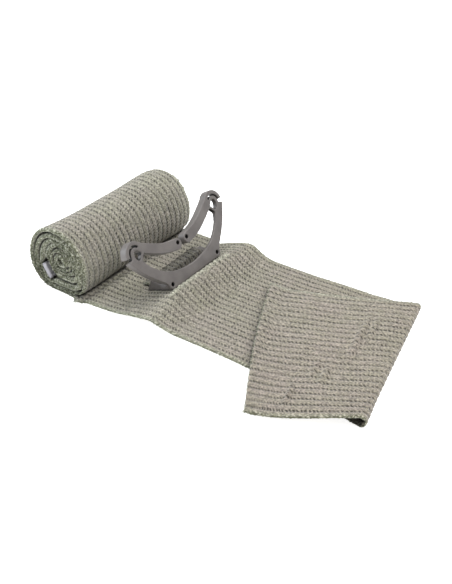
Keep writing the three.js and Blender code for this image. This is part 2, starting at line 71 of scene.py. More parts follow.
class ClothSizes(bpy.types.PropertyGroup):
    """Sizes of the knitted wrap"""
    width: length("Width", "Width of the wrap", 0.1)
    thickness: length("Thickness", "Thickness of the cloth", 0.0013)
    seat_gap: length("Seat gap", "Gap between two layers of cloth", 0.00035)
    roll_radius: length("Roll radius", "Radius of the roll before it sags", 0.0192)
    core_radius: length("Core radius", "Radius where the winding starts", 0.003)
    roll_sag: length("Roll sag", "How far the roll leans to the front", 0.0024)
    end_rise: length("End rise", "How far the outer turn's near end stands up", 0.0023)
    swell: length("Swell", "How far the roll's ends swell", 0.0012)
    strip_run: length("Strip length", "From the roll's axis to the fold", 0.191)
    fold_radius: length("Fold radius", "Radius of the open fold", 0.0018)
    flap_length: length("Flap length", "From the fold to the free end", 0.071)
    flap_gap: length("Flap gap", "Gap under the flap", 0.0006)
    ribs: IntProperty(name="Ribs", description="Ribs across the wrap", default=24, min=1)
    rib_depth: length("Rib depth", "Depth of the grooves between the ribs", 0.00042)
    unevenness: length("Unevenness", "How unevenly the ribs stand", 0.0002)
    stitch: length("Stitch", "Pitch of the stitches along a rib", 0.0021)
    bead: length("Bead", "How far the rolled rims may swell into the gaps beside them", 0.0016)
    loop_pitch: length("Loop pitch", "Pitch of the loops along the selvage", 0.0019)
    loop_radius: length("Loop radius", "Radius of a selvage loop", 0.00085)
    yarn_radius: length("Yarn radius", "Radius of the yarn", 0.0003)


class MouldingSizes(bpy.types.PropertyGroup):
    """Sizes of the applicator and the closure bar"""
    place_x: length("Place X", "Applicator's front face from the roll's axis", 0.0604)
    place_y: length("Place Y", "Applicator's middle across the wrap", 0.0008)
    lean: angle("Lean", "How far the face leans back", 29.7)
    yaw: angle("Yaw", "How far the applicator is turned on the strip", 1.4)
    arc_depth: length("Arc depth", "Depth of the arc", 0.002)
    ring_depth: length("Ring depth", "Depth of the rings", 0.0032)
    lip_depth: length("Lip depth", "Depth of the lip along the arc's outer edge", 0.0042)
    lip: length("Lip", "Thickness of the lip", 0.0014)
    arm_depth: length("Arm depth", "Depth of the arms and hooks", 0.0051)
    slot_start: length("Slot start", "Where the foot's slot starts behind the face", 0.007)
    arc_width: length("Arc width", "Height of the arc at its middle", 0.0062)
    arm_width: length("Arm width", "Height of the arms at their ends", 0.0065)
    hole: length("Hole", "Diameter of the round holes", 0.0026)
    boss: length("Boss", "Radius of the round bosses", 0.0027)
    ring_spacing: length("Ring spacing", "Between the middles of the two rings", 0.0746)
    ring_height: length("Ring height", "Height of the rings up the face", 0.0256)
    ring_radius: length("Ring radius", "Radius of a ring", 0.004)
    slit: length("Slit", "Width of the slit beside a hook", 0.0012)
    hook_width: length("Hook width", "Width of a hook", 0.0023)
    foot_width: length("Foot width", "Width of the foot", 0.048)
    foot_depth: length("Foot depth", "Depth of the foot", 0.0185)
    foot_height: length("Foot height", "Height of the foot", 0.0087)
    slot_width: length("Slot width", "Width of the slot for the strap", 0.041)
    slot_gap: length("Slot gap", "Depth of the slot for the strap", 0.0026)
    strap: length("Strap thickness", "Thickness of the strap", 0.0012)
    bar_width: length("Bar width", "Width of the closure bar", 0.01)
    bar_thickness: length("Bar thickness", "Thickness of the closure bar", 0.0032)
    bar_length: length("Bar length", "Length of the closure bar", 0.088)
    grain: length("Grain", "Size of the cells the moulding is rounded with", 0.00034)


class BandageColours(bpy.types.PropertyGroup):
    """Colours of the yarn and the plastics"""
    rib: colour("Rib", "Yarn on the crown of a rib", (0.275, 0.26, 0.212, 1))
    groove: colour("Groove", "Yarn between two ribs", (0.062, 0.058, 0.045, 1))
    tinge: colour("Tinge", "Greenish yarn along the selvage", (0.2, 0.207, 0.13, 1))
    blush: colour("Blush", "Pinkish yarn in patches", (0.28, 0.25, 0.218, 1))
    cool: colour("Cool cast", "Cast of the cloth beside the roll", (0.985, 0.985, 0.98, 1))
    warm: colour("Warm cast", "Cast of the cloth beside the fold", (1, 0.945, 0.935, 1))
    olive: colour("Olive", "Dark yarn of the selvages", (0.105, 0.116, 0.066, 1))
    pale: colour("Pale", "Light yarn of the selvages", (0.5, 0.51, 0.41, 1))
    moulding: colour("Moulding", "Applicator's plastic", (0.124, 0.113, 0.107, 1))
    # The colour for the walls of the round holes and the slits is painted shade: near-black where shade
    # falls inside them.
    bore: colour("Bore", "Plastic inside the round holes", (0.012, 0.012, 0.012, 1))
    bar: colour("Bar", "Closure bar's plastic", (0.29, 0.28, 0.3, 1))


class StageSettings(bpy.types.PropertyGroup):
    """Camera, lights and floor"""
    camera: FloatVectorProperty(name="Camera", description="Where the camera stands", subtype="XYZ",
                                unit="LENGTH", default=(0.3021, -0.4319, 0.3378))
    target: FloatVectorProperty(name="Target", description="What the camera looks at", subtype="XYZ",
                                unit="LENGTH", default=(-0.01381, 0.02066, 0))
    lens: FloatProperty(name="Lens", description="Focal length on a 36 mm sensor", default=70.49,
                        unit="CAMERA")
    floor: colour("Floor", "Colour of the floor", (0.78, 0.78, 0.78, 1))
    daylight: FloatProperty(name="Daylight", description="Strength of the light all round", default=0.475)
    key: FloatProperty(name="Key", description="Key light", default=13.2, unit="POWER")
    fill: FloatProperty(name="Fill", description="Fill light", default=6, unit="POWER")


def mix(a, b, k):
    return a + (b - a) * k


def smooth(a):
    k = np.clip(a, 0, 1)
    return k * k * (3 - 2 * k)


def follow(rows, at, column=1):
    """Reads a given table at any place along its first column, smoothly and without overshoot."""
    x = np.array([row[0] for row in rows], float)
    y = np.array([row[column] for row in rows], float)
    step = np.diff(x)
    slope = np.diff(y) / step
    turns = slope[:-1] * slope[1:]
    total = np.where(turns > 0, slope[:-1] + slope[1:], 1)
    tangent = np.concatenate([slope[:1], np.where(turns > 0, 2 * turns / total, 0), slope[-1:]])
    i = np.clip(np.searchsorted(x, at, side="right") - 1, 0, len(x) - 2)
    k = np.clip((at - x[i]) / step[i], 0, 1)
    rise = y[i + 1] - y[i]
    a = step[i] * tangent[i] - rise
    b = rise - step[i] * tangent[i + 1]
    return y[i] + rise * k + k * (1 - k) * (a * (1 - k) + b * k)


# The roll's section, in columns: place round the roll, and how far each turn stands from the axis there
ROUND_ROLL = [
    (0, 1), (0.04, 1.005), (0.083, 1.02), (0.15, 1.05), (0.205, 1.07), (0.267, 1.075), (0.4, 1.07),
    (0.445, 1.04), (0.5, 1), (0.56, 0.985), (0.61, 0.98), (0.67, 0.98), (0.73, 1.03), (0.78, 1.1),
    (0.82, 1.17), (0.86, 1.265), (0.88, 1.285), (0.9, 1.21), (0.93, 1.1), (0.955, 1.04), (1, 1),
]
# Across the wrap, near edge to far: how far the roll swells, and how its outer turn's near end rises,
# with the turns that the rise fades over and where it starts round the roll
WAIST = 0.2
SWELL_ACROSS = [(-1, -0.1), (-0.93, 0.15), (-0.8, 0.3), (-0.27, -WAIST), (0.27, -WAIST), (0.8, 0.3),
                (0.93, -0.3), (1, -1.2)]
RISE_ACROSS = [(-1, 1), (-0.93, 0.66), (-0.8, 0.25), (-0.55, 0), (1, 0)]
RISE_TURNS = 0.3
RISE_LOW, RISE_REACH = 0.7, 1.2
# Where the roll comes clear of the table, and how its edges wander: base, size, pace and start
CLEAR_OF_TABLE = 0.35
NEAR_WANDER = (0.002, 0.007, 0.77, 0)
FAR_WANDER = (0.01, 0.008, 0.61, 0.3)
OUTER_TURN_OUT = 0.012
# Gaps between the turns: size in shares of the radius, where they start and the side they open on
CRESCENT, INNER, BAR_SLIP = 0.036, 0.06, 0.185
CRESCENT_START, INNER_START = 0.08, 0.57
CRESCENT_SIDE = -35
BAR_TURN = 2.05
BAR_MIDDLE = BAR_TURN + 0.08
BAR_SIDE = 48
# The rims: where the rolled ones start to swell into the gaps beside them, and how all are rounded off
RIM_START, RIM_REACH = 0.9, 0.07
BESIDE_BAR = 0.1
BEAD_LIMIT = 1.7
RIM_ROUNDING = (0.45, 0.86, 1.0)

# The strip's edges, in columns: place, near edge along and out, far edge along and out. Along is in shares
# of the strip's run, and out in shares of the wrap's width
STRIP_EDGES = [
    (0, 0, -0.5, 0, 0.5),
    (0.07, 0.07, -0.51, 0.07, 0.49),
    (0.092, 0.092, -0.55, 0.092, 0.49),
    (0.12, 0.12, -0.515, 0.12, 0.49),
    (0.19, 0.19, -0.508, 0.19, 0.49),
    (0.235, 0.235, -0.503, 0.235, 0.452),
    (0.27, 0.27, -0.498, 0.27, 0.478),
    (0.33, 0.33, -0.497, 0.33, 0.498),
    (0.42, 0.42, -0.496, 0.42, 0.475),
    (0.6, 0.6, -0.506, 0.6, 0.468),
    (0.7, 0.7, -0.52, 0.69, 0.475),
    (0.8, 0.82, -0.545, 0.77, 0.475),
    (0.9, 0.935, -0.575, 0.85, 0.485),
    (1, 1.058, -0.615, 0.925, 0.485),
]
# Rows of the grid: for each inner turn, for the outer ones together, on the fold and on the flap, then
# stretches of the strip from, to and in how many rows. The columns are counted for each rib
OUTER_TURNS = 1.12
INNER_ROWS, OUTER_ROWS, FOLD_ROWS, FLAP_ROWS = 26, 62, 8, 80
RIB_COLUMNS = 5
STRIP_ROWS = [(0, 0.075, 5), (0.075, 0.125, 14), (0.125, 0.3, 14), (0.3, 0.37, 20), (0.37, 0.5, 12),
              (0.5, 0.8, 44), (0.8, 1, 13)]
# The flap's edges, in columns: place, near edge back and out, far edge back and out, measured from the
# fold. Back is in shares of the flap's length, and out in shares of the wrap's width
FLAP_EDGES = [
    (0, 0, 0, 0, 0),
    (0.25, 0.24, -0.103, 0.27, -0.08),
    (0.5, 0.465, -0.18, 0.555, -0.155),
    (0.75, 0.6, -0.22, 0.82, -0.227),
    (1, 0.7, -0.249, 1.09, -0.295),
]
FLAP_BOW = 0.03

# Soft creases across the flap: along it, their two ends across it, and how high they stand
CREASES = [(0.25, 0.0, 0.6, 2.1 * MM), (0.34, -0.5, -0.2, 1.8 * MM), (0.52, -0.82, -0.58, 2 * MM),
           (0.19, 0.25, 0.62, 1.5 * MM), (0.42, -0.45, -0.2, 1.2 * MM)]
CREASE_REACH = 0.017
FLAP_WAVES = 0.5 * MM
FLAP_DOWN = 1.6
FLAP_CURL = 2.4 * MM
CURL_START = 0.86
CURL_NEAR = 0.35
FOLD_GAPE = 1.5
GAPE_START = 0.55

# The puckers in front of the foot and the low second swell
PUCKER = 2.2 * MM
PUCKER_PITCH = 3.3 * MM
PUCKER_PLACE = 2.4 * MM
PUCKER_REACH = 2.2 * MM
PUCKER_UNEVEN = 0.35
PUCKER_SIDE = 0.6
SECOND_SWELL = 0.7 * MM
SECOND_SWELL_PLACE = 5 * MM
SECOND_SWELL_REACH = 3.6 * MM
SECOND_SWELL_SIDE = 0.85

# The selvage loops: sizes and tilts they vary between, their size off the roll, and how deep they sit
LOOP_SIZES = (0.72, 1.2)
LOOP_TILT = (0.45, 0.45, 0.5)
LOOP_OFF_ROLL = 0.6
LOOP_INSET = 0.4
LOOP_SEED = 7

# Painted shade under the flap's free edge, beside the roll and on the strap, and the cloth's change of cast
PAINTED_SHADE_REACH = 7 * MM
PAINTED_SHADE_CORE, PAINTED_SHADE_CORE_SHARE = 0.28, 0.55
ROLL_SHADE = 0.12
CREVICE_SHADE = 0.5
CREVICE_PLACE = 2 * MM
CREVICE_REACH = 1.1 * MM
STRAP_PAINTED_SHADE = -0.6
CAST_PLACES = (-0.08, 0.09)

# The ridge under the applicator's foot, how it falls beyond the foot, and the pleat beside the roll
RIDGE_TOE = 0.8 * MM
RIDGE_REACH = 24 * MM
RIDGE_SIDES = (0.42, 0.62)
RIDGE_HEEL = 0.45
RIDGE_FALL = [(0, 1), (0.12, 1.1), (0.25, 1.08), (0.4, 0.78), (0.6, 0.36), (0.8, 0.1), (1, 0), (20, 0)]
PLEAT_HEIGHT = 1 * MM
PLEAT_REACH = 2 * MM
PLEAT_INSET = 0.6 * MM

# The applicator: sweeps in degrees, and places across and up its face and behind it
HOOK_SWEEP = (0, 132)
SLIT_SWEEP = (-30, 122)
BASE_HOLE = 21.9 * MM
ARM_HOLE = (4.3 * MM, 18 * MM)
BASE_HOLE_DEPTH = 5 * MM
FOOT_TOP_DEPTH = 12.6 * MM
FOOT_RISE = 3.5 * MM
FOOT_START = 0.5 * MM
FOOT_INSET = 0.1 * MM
FOOT_FRONT_SHARE = 0.57

# The strap: how far its tail lies on the strip, its ribs, and its room in the slot on each side
STRAP_TAIL = 6 * MM
STRAP_RIBS = 9
STRAP_ROOM = 1 * MM

# Patterns of the yarn: scale, detail, roughness, and the noise that reads as none and as full
FIBRE = {
    "Speckle": (820.0, 3.0, 0.8, 0.36, 0.64),
    "Mottle": (160.0, 3.0, 0.6, 0.35, 0.65),
    "Fading": (75.0, 2.0, 0.5, 0.35, 0.65),
    "Cloud": (24.0, 2.0, 0.5, 0.38, 0.62),
    "Fleck": (900.0, 2.0, 0.6, 0.44, 0.66),
}
# Colours laid over the ribs' yarn: the pattern that shows them, its share and the colour
YARN_LAYERS = [("Cloud", 0.6, "blush"), ("Mottle", 0.3, "tinge"), ("Groove", 0.22, "groove"),
               ("Crown", 0.42, "groove")]
HOLE_SHARES = (0.42, 0.58)
SELVAGE_SHARE = 0.8
# How much the lip where the strip gathers is painted paler: partly pale stretched yarn, partly a painted
# highlight
GATHERED_PALE_AND_LIT_SHARES = (0.5, 0.35)
TUCK_SHADE = 0.75
SPECKLE_LIGHT = (0.85, 0.55)

# The plastics: roughness, shades, how far the applicator is softened, and the closure bar's rounding
GLOSS = 0.4
PLASTIC_SHADES = [(0.86, 0.86, 0.87), (1.12, 1.12, 1.12)]
SOFTENING, SOFTENING_PASSES = 0.5, 4
BAR_ROUNDING = 0.5 * MM
BAR_STEPS = 16

# The lights: name, setting, size, tint and place
LAMPS = [
    ("Key", "key", 0.9, (1, 1, 1), (0.05, 0.22, 0.88)),
    ("Fill", "fill", 0.7, (0.86, 0.93, 1), (-0.75, -0.4, 0.4)),
]
FLOOR_HALF = 4
FLOOR_GLOW = 0.8
FLOOR_SHADE = 0.985
CLIP_START = 0.01


def wander(turn, base, size, pace, start):
    """How far a turn's edge stands out, in shares of the wrap's width."""
    return base + size * math.sin(TAU * (turn * pace + start))


class ClothShape:
    """Centre surface of the wrap: every row runs from the near edge, t = -1, to the far one, t = 1."""

    def __init__(self, cloth, moulding):
        self.c = cloth
        self.m = moulding
        self.pitch = cloth.thickness + cloth.seat_gap
        slips = CRESCENT + INNER + BAR_SLIP
        wound = cloth.roll_radius * (1 - slips) - cloth.thickness / 2 - cloth.core_radius
        self.turns = wound / self.pitch
        self.slips = [
            (CRESCENT_START * self.turns, CRESCENT, CRESCENT_SIDE),
            (INNER_START * self.turns, INNER, BAR_SIDE),
            (BAR_TURN, BAR_SLIP, BAR_SIDE + 180),
        ]
        self.foot_front = -moulding.boss + FOOT_INSET
        self.sin, self.cos = math.sin(moulding.lean), math.cos(moulding.lean)
        under = self.foot_under(moulding.foot_depth)
        self.face_z = (cloth.thickness + RIDGE_TOE + cloth.seat_gap + moulding.foot_depth * self.sin
                       - under * self.cos)
        self.heel = self.on_strip(moulding.foot_depth, under)
        self.toe = self.on_strip(0, self.foot_under(0))
        self.ridge_top = self.toe[1] - cloth.seat_gap - cloth.thickness

    def foot_under(self, w):
        return self.foot_front + FOOT_RISE * w / self.m.foot_depth

    def foot_top(self, w):
        rise = mix(FOOT_FRONT_SHARE, 1, (w - self.m.slot_start) / (FOOT_TOP_DEPTH - self.m.slot_start))
        return self.foot_front + self.m.foot_height * rise

    def on_strip(self, w, v):
        """Where a depth behind the face and a height up it lie over the strip, as x and z."""
        return (self.m.place_x - w * self.cos - v * self.sin, self.face_z - w * self.sin + v * self.cos)

    def roll_radius(self, turn):
        """Axis and radius of the roll's winding at a turn, counted inwards from the strip."""
        r = self.c.roll_radius
        x, z, radius = 0, r, r - self.c.thickness / 2 - self.pitch * turn
        for start, size, towards in self.slips:
            d = size * r * smooth(turn - start)
            x = x - d * math.sin(math.radians(towards))
            z = z - d * math.cos(math.radians(towards))
            radius = radius - d
        return x, z, radius

    def roll_point(self, turn, inset):
        """Where the section of the roll lies at a turn, and how clear of the table it is."""
        lifted = smooth((1 - math.cos(TAU * turn)) / CLEAR_OF_TABLE)
        x, z, radius = self.roll_radius(turn)
        r = radius * follow(ROUND_ROLL, turn - math.floor(turn)) - inset
        x = x + self.c.roll_sag * lifted
        return x - r * math.sin(TAU * turn), z - r * math.cos(TAU * turn), lifted

    def roll_row(self, turn, t):
        x, z, lifted = self.roll_point(turn, 0)
        out_near = wander(turn, *NEAR_WANDER) + OUTER_TURN_OUT * (1 - smooth(2 * turn))
        near = -self.c.width * (0.5 + out_near * lifted)
        far = self.c.width * (0.5 + wander(turn, *FAR_WANDER) * lifted)
        out = self.c.swell * follow(SWELL_ACROSS, t) * lifted
        up = self.c.end_rise * follow(RISE_ACROSS, t) * lifted * (1 - smooth(turn - RISE_TURNS))
        up = up * smooth((RISE_LOW - math.cos(TAU * turn)) / RISE_REACH)
        return np.stack([x - out * math.sin(TAU * turn), mix(near, far, (t + 1) / 2),
                         z + up - out * math.cos(TAU * turn)], -1)

    def beads(self, turn, t):
        """How far the rims of one turn swell outward and inward, towards the turns beside it."""
        own = self.roll_row(turn, t)
        rim = smooth((abs(t) - RIM_START) / RIM_REACH)
        swell = []
        for other in (turn - 1, turn + 1):
            beside_bar = abs(min(turn, other) - BAR_MIDDLE) < BESIDE_BAR
            if other < 0:
                swell.append(0 * t)
            elif other > self.turns:
                swell.append(rim * self.c.bead)
            else:
                gap = np.linalg.norm(self.roll_row(other, t) - own, axis=1) - self.c.thickness
                free = (t > 0) if beside_bar else 1
                room = np.clip(gap / 2 - self.c.seat_gap, 0, BEAD_LIMIT * self.c.bead)
                swell.append(free * rim * room)
        return swell

    def strip_lift(self, x, t):
        """How high the strip lies over the table, with its pleat and its ridge."""
        pleat = PLEAT_HEIGHT * smooth(1 - abs(x - self.c.roll_radius + PLEAT_INSET) / PLEAT_REACH)
        fall = follow(RIDGE_FALL, (x - self.toe[0]) / RIDGE_REACH)
        k = (x - self.heel[0]) / (self.toe[0] - self.heel[0])
        foot = RIDGE_TOE / self.ridge_top
        rise = np.where(k > 0, mix(foot, 1, k), foot * smooth(1 + k / RIDGE_HEEL))
        ridge = np.where(x > self.toe[0], fall, rise)
        side = np.where(t < 0, *RIDGE_SIDES)
        return pleat + self.ridge_top * ridge * mix(side, 1, smooth(1.5 * (1 - abs(t))))

    def gathered_and_lit(self, x, t):
        """How much the strip gathers along the front of the applicator's foot; it is painted paler there
        too, partly pale yarn, partly a painted highlight.
        """
        along = smooth(1 - abs(x - self.toe[0] - PUCKER_PLACE) / PUCKER_REACH)
        return along * smooth((PUCKER_SIDE - abs(t)) / 0.1)

    def tone(self, row, t, edge):
        """Painted highlight and pale yarn where the strip gathers; painted shade under the flap's free edge
        and beside the roll.
        """
        x, y = row[:, 0], row[:, 1]
        away = np.interp(y, edge[:, 1], edge[:, 0]) - x
        core = smooth(1 - away / (PAINTED_SHADE_CORE * PAINTED_SHADE_REACH))
        painted_shade = mix(smooth(1 - away / PAINTED_SHADE_REACH), core, PAINTED_SHADE_CORE_SHARE)
        painted_shade = painted_shade * smooth((edge[-1, 1] - y) / (3 * MM) + 0.5)
        # Painted shade beside the roll, with a darker painted line along the crevice
        beside = x - self.c.roll_radius
        roll = ROLL_SHADE * smooth(1 - beside / PAINTED_SHADE_REACH)
        crevice = CREVICE_SHADE * smooth(1 - abs(beside - CREVICE_PLACE) / CREVICE_REACH)
        return self.gathered_and_lit(x, t) - painted_shade - (roll + crevice)

    def strip_row(self, s, t):
        k = (t + 1) / 2
        x = self.c.strip_run * mix(follow(STRIP_EDGES, s, 1), follow(STRIP_EDGES, s, 3), k)
        y = self.c.width * mix(follow(STRIP_EDGES, s, 2), follow(STRIP_EDGES, s, 4), k)
        waves = np.sin(TAU * y / PUCKER_PITCH + 1.4 * np.sin(y / (5 * MM)))
        pucker = PUCKER * self.gathered_and_lit(x, t) * mix(1, waves, PUCKER_UNEVEN)
        beyond = (x - self.c.roll_radius - SECOND_SWELL_PLACE) / SECOND_SWELL_REACH
        swell = SECOND_SWELL * smooth(1 - abs(beyond)) * smooth((SECOND_SWELL_SIDE - abs(t)) / 0.2)
        return np.stack([x, y, self.c.thickness / 2 + self.strip_lift(x, t) + pucker + swell], -1)

    def fold_size(self, t):
        """Radius of the fold, which gapes towards its near end."""
        return self.c.fold_radius * mix(1, FOLD_GAPE, smooth((-t - GAPE_START) / (1 - GAPE_START)))

    def flap_row(self, s, t):
        k = (t + 1) / 2
        fold = self.strip_row(1, t)
        back = mix(follow(FLAP_EDGES, s, 1), follow(FLAP_EDGES, s, 3), k) + FLAP_BOW * s * (1 - t * t)
        out = mix(follow(FLAP_EDGES, s, 2), follow(FLAP_EDGES, s, 4), k)
        height = self.c.thickness / 2 + mix(2 * self.fold_size(t), self.c.thickness + self.c.flap_gap,
                                            smooth(s * FLAP_DOWN))
        inside = smooth(8 * s) * smooth(6 * (1 - s)) * smooth(5 * (1 - abs(t)))
        waves = FLAP_WAVES * inside * (1 + np.sin(9 * s + 2 * t) * np.sin(5 * t - 3 * s))
        for at, near, far, high in CREASES:
            along = smooth(1 - abs(t - (near + far) / 2) / (far - near))
            waves = waves + high * along * math.exp(-((s - at) / CREASE_REACH) ** 2)
        lift = smooth((s - CURL_START) / (1 - CURL_START)) * mix(CURL_NEAR, 1, smooth(t + 0.8))
        waves = waves + FLAP_CURL * lift
        return np.stack([fold[:, 0] - self.c.flap_length * back, fold[:, 1] + self.c.width * out,
                         height + waves], -1)

    def fold_row(self, turned, t):
        start = self.strip_row(1, t)
        line = start[-1] - start[0]
        out = np.array([line[1], -line[0], 0]) / np.hypot(line[0], line[1])
        r = self.fold_size(t)[:, None]
        return start + out * r * math.sin(turned) + np.array([0, 0, 1]) * r * (1 - math.cos(turned))

    def strap_path(self):
        """The strap's line as x and z: off the strip, up the foot's rear, over its bar, into the slot."""
        m = self.m
        back = m.slot_start + m.slot_gap
        corners = [np.array(p) for p in (
            self.heel, self.on_strip(FOOT_TOP_DEPTH, self.foot_top(FOOT_TOP_DEPTH)),
            self.on_strip(back, self.foot_top(back)), self.on_strip(back, self.foot_under(back)))]
        away = self.c.seat_gap + m.strap / 2
        faces = []
        for a, b in zip(corners, corners[1:]):
            d = (b - a) / np.linalg.norm(b - a)
            faces.append(np.array([-d[1], d[0]]))
        first = corners[0] + faces[0] * away

        def lie(x):
            return np.array([x, self.c.thickness + float(self.strip_lift(x, np.array(0.0))) + away])

        path = [lie(first[0] - STRAP_TAIL), lie(first[0] - STRAP_TAIL / 2), lie(first[0] - m.strap),
                mix(first, corners[1] + faces[0] * away, 0.2)]
        for i in (1, 2):
            for k in (0, 0.25, 0.5, 0.75, 1):
                n = mix(faces[i - 1], faces[i], k)
                path.append(corners[i] + n / np.linalg.norm(n) * away)
        path.append(corners[3] + faces[2] * away)
        return np.array(spline(path, 3))

    def rows(self, t):
        """Every row of the wrap, core to free end, with half thickness, painted light and shade, and how
        many are rolled.
        """
        count = int((self.turns - OUTER_TURNS) * INNER_ROWS)
        inner = np.linspace(self.turns, OUTER_TURNS, count, endpoint=False)
        outer = np.linspace(OUTER_TURNS, 0, OUTER_ROWS, endpoint=False)
        grid, extra = [], []
        for turn in [*inner, *outer]:
            out, into = self.beads(turn, t)
            away = np.array([-math.sin(TAU * turn), 0, -math.cos(TAU * turn)])
            grid.append(self.roll_row(turn, t) + ((out - into) / 2)[:, None] * away)
            extra.append((out + into) / 2)
        places = [np.linspace(a, b, n, endpoint=b == 1) for a, b, n in STRIP_ROWS]
        grid += [self.strip_row(s, t) for s in np.concatenate(places)]
        edge = self.flap_row(1, t)
        tone = [0 * t] * len(extra) + [self.tone(row, t, edge) for row in grid[len(extra):]]
        grid += [self.fold_row(math.pi * i / FOLD_ROWS, t) for i in range(1, FOLD_ROWS)]
        grid += [self.flap_row(s, t) for s in np.linspace(0, 1, FLAP_ROWS)]
        tone += [0 * t] * (len(grid) - len(tone))
        half = np.full((len(grid), len(t)), self.c.thickness / 2)
        half[:len(extra)] += extra
        return np.array(grid) - np.array(ORIGIN), half, np.array(tone), len(extra)


def cloth_shell(name, grid, half, ribs, tone):
    """Closes a grid of centre points into a wall, with its rib places, stitch lengths and painted light and
    shade stored.
    """
    rows, columns = grid.shape[:2]
    along = np.gradient(grid, axis=0)
    across = np.gradient(grid, axis=1)
    normal = np.cross(along, across)
    normal /= np.linalg.norm(normal, axis=2, keepdims=True)
    points = np.concatenate([(grid + normal * half[..., None]).reshape(-1, 3),
                             (grid - normal * half[..., None]).reshape(-1, 3)])
    at = np.arange(rows * columns).reshape(rows, columns)
    low = at + rows * columns
    top = np.stack([at[:-1, :-1], at[1:, :-1], at[1:, 1:], at[:-1, 1:]], -1).reshape(-1, 4)
    bottom = np.stack([low[:-1, :-1], low[:-1, 1:], low[1:, 1:], low[1:, :-1]], -1).reshape(-1, 4)
    rims = [np.stack([at[:-1, 0], low[:-1, 0], low[1:, 0], at[1:, 0]], -1),
            np.stack([at[:-1, -1], at[1:, -1], low[1:, -1], low[:-1, -1]], -1),
            np.stack([at[0, :-1], at[0, 1:], low[0, 1:], low[0, :-1]], -1),
            np.stack([at[-1, :-1], low[-1, :-1], low[-1, 1:], at[-1, 1:]], -1)]
    mesh = bpy.data.meshes.new(name)
    mesh.from_pydata(points, [], np.concatenate([top, bottom, *rims]).tolist())
    step = np.linalg.norm(np.diff(grid[:, columns // 2], axis=0), axis=1)
    run = np.concatenate([[0], np.cumsum(step)])
    place = np.broadcast_to(np.linspace(0, ribs, columns), (rows, columns))
    knit = np.stack([place, np.broadcast_to(run[:, None], (rows, columns))], -1).reshape(-1, 2)
    knit = np.concatenate([knit, knit * (-1, 1)])
    corner = np.empty(len(mesh.loops), np.int32)
    mesh.loops.foreach_get("vertex_index", corner)
    mesh.uv_layers.new(name="Knit").data.foreach_set("uv", knit[corner].astype(np.float32).ravel())
    for label, values in (("rib", np.abs(knit[:, 0])), ("tone", np.tile(tone.ravel(), 2))):
        stored = mesh.attributes.new(label, "FLOAT", "POINT")
        stored.data.foreach_set("value", values.astype(np.float32))
    mesh.shade_smooth()
    return mesh, run[-1]


def edge_half(rows, columns, half):
    """Half the wall's thickness over a grid, rounded off along its rims."""
    i = np.arange(rows)[:, None]
    j = np.arange(columns)[None, :]
    ends = np.minimum(i, rows - 1 - i)
    sides = np.minimum(j, columns - 1 - j)
    rounding = np.array(RIM_ROUNDING)
    return half * np.minimum(rounding[np.minimum(ends, 2)], rounding[np.minimum(sides, 2)])


class Tree:
    """Adds nodes to a node tree and links them by name."""

    def __init__(self, tree):
        self.tree = tree

    def add(self, kind, inputs=None, **settings):
        made = self.tree.nodes.new(kind)
        for key, value in settings.items():
            setattr(made, key, value)
        for key, value in (inputs or {}).items():
            if isinstance(value, bpy.types.NodeSocket):
                self.link(value, made.inputs[key])
            else:
                made.inputs[key].default_value = value
        return made

    def math(self, operation, a, b=0.0, c=0.0):
        return self.add("ShaderNodeMath", {0: a, 1: b, 2: c}, operation=operation).outputs[0]

    def vector(self, operation, a, b):
        return self.add("ShaderNodeVectorMath", {0: a, 1: b}, operation=operation).outputs[0]

    def scaled(self, a, scale):
        return self.add("ShaderNodeVectorMath", {0: a, "Scale": scale}, operation="SCALE").outputs[0]

    def ramp(self, value, low, high):
        return self.add("ShaderNodeMapRange", {0: value, 1: low, 2: high},
                        interpolation_type="SMOOTHSTEP").outputs[0]

    def noise(self, vector, scale, detail=2.0, roughness=0.5):
        return self.add("ShaderNodeTexNoise", {"Vector": vector, "Scale": scale, "Detail": detail,
                                               "Roughness": roughness}).outputs[0]

    def blend(self, k, a, b, kind="MIX"):
        return self.add("ShaderNodeMix", {0: k, 6: a, 7: b}, data_type="RGBA", blend_type=kind).outputs[2]

    def bump(self, height, strength, distance):
        return self.add("ShaderNodeBump", {"Height": height, "Strength": strength,
                                           "Distance": distance}).outputs[0]

    def group(self, tree, inputs):
        return self.add("ShaderNodeGroup", inputs, node_tree=tree)

    def link(self, value, socket):
        self.tree.links.new(value, socket)

    def stored(self, name, kind):
        return self.add("GeometryNodeInputNamedAttribute", {"Name": name}, data_type=kind).outputs[0]

    def circle(self, sides, radius):
        return self.add("GeometryNodeCurvePrimitiveCircle", {"Resolution": sides, "Radius": radius},
                        mode="RADIUS").outputs[0]

    def finish(self, geometry, material, socket):
        """Ends a geometry tree with its instances made real and its material set."""
        real = self.add("GeometryNodeRealizeInstances", {0: geometry}).outputs[0]
        done = self.add("GeometryNodeSetMaterial", {"Geometry": real, "Material": material}).outputs[0]
        self.link(done, socket)


def new_group(name, kind, sockets):
    """A node group with its named sockets, and its input and output nodes."""
    tree = bpy.data.node_groups.new(name, kind)
    for label, direction, socket, default in sockets:
        made = tree.interface.new_socket(name=label, in_out=direction, socket_type=socket)
        if default is not None:
            made.default_value = default
    t = Tree(tree)
    return t, t.add("NodeGroupInput").outputs, t.add("NodeGroupOutput").inputs


def fibre_group():
    """Fine hairy speckle of spun yarn, in the object's own space."""
    name = "Fibre"
    if name in bpy.data.node_groups:
        return bpy.data.node_groups[name]
    t, given, out = new_group(name, "ShaderNodeTree", [
        ("Scale", "INPUT", "NodeSocketFloat", 1.0),
        *((label, "OUTPUT", "NodeSocketFloat", None) for label in FIBRE),
    ])
    place = t.scaled(t.add("ShaderNodeTexCoord").outputs["Object"], given["Scale"])
    for label, (scale, detail, roughness, none, full) in FIBRE.items():
        t.link(t.ramp(t.noise(place, scale, detail, roughness), none, full), out[label])
    return t.tree


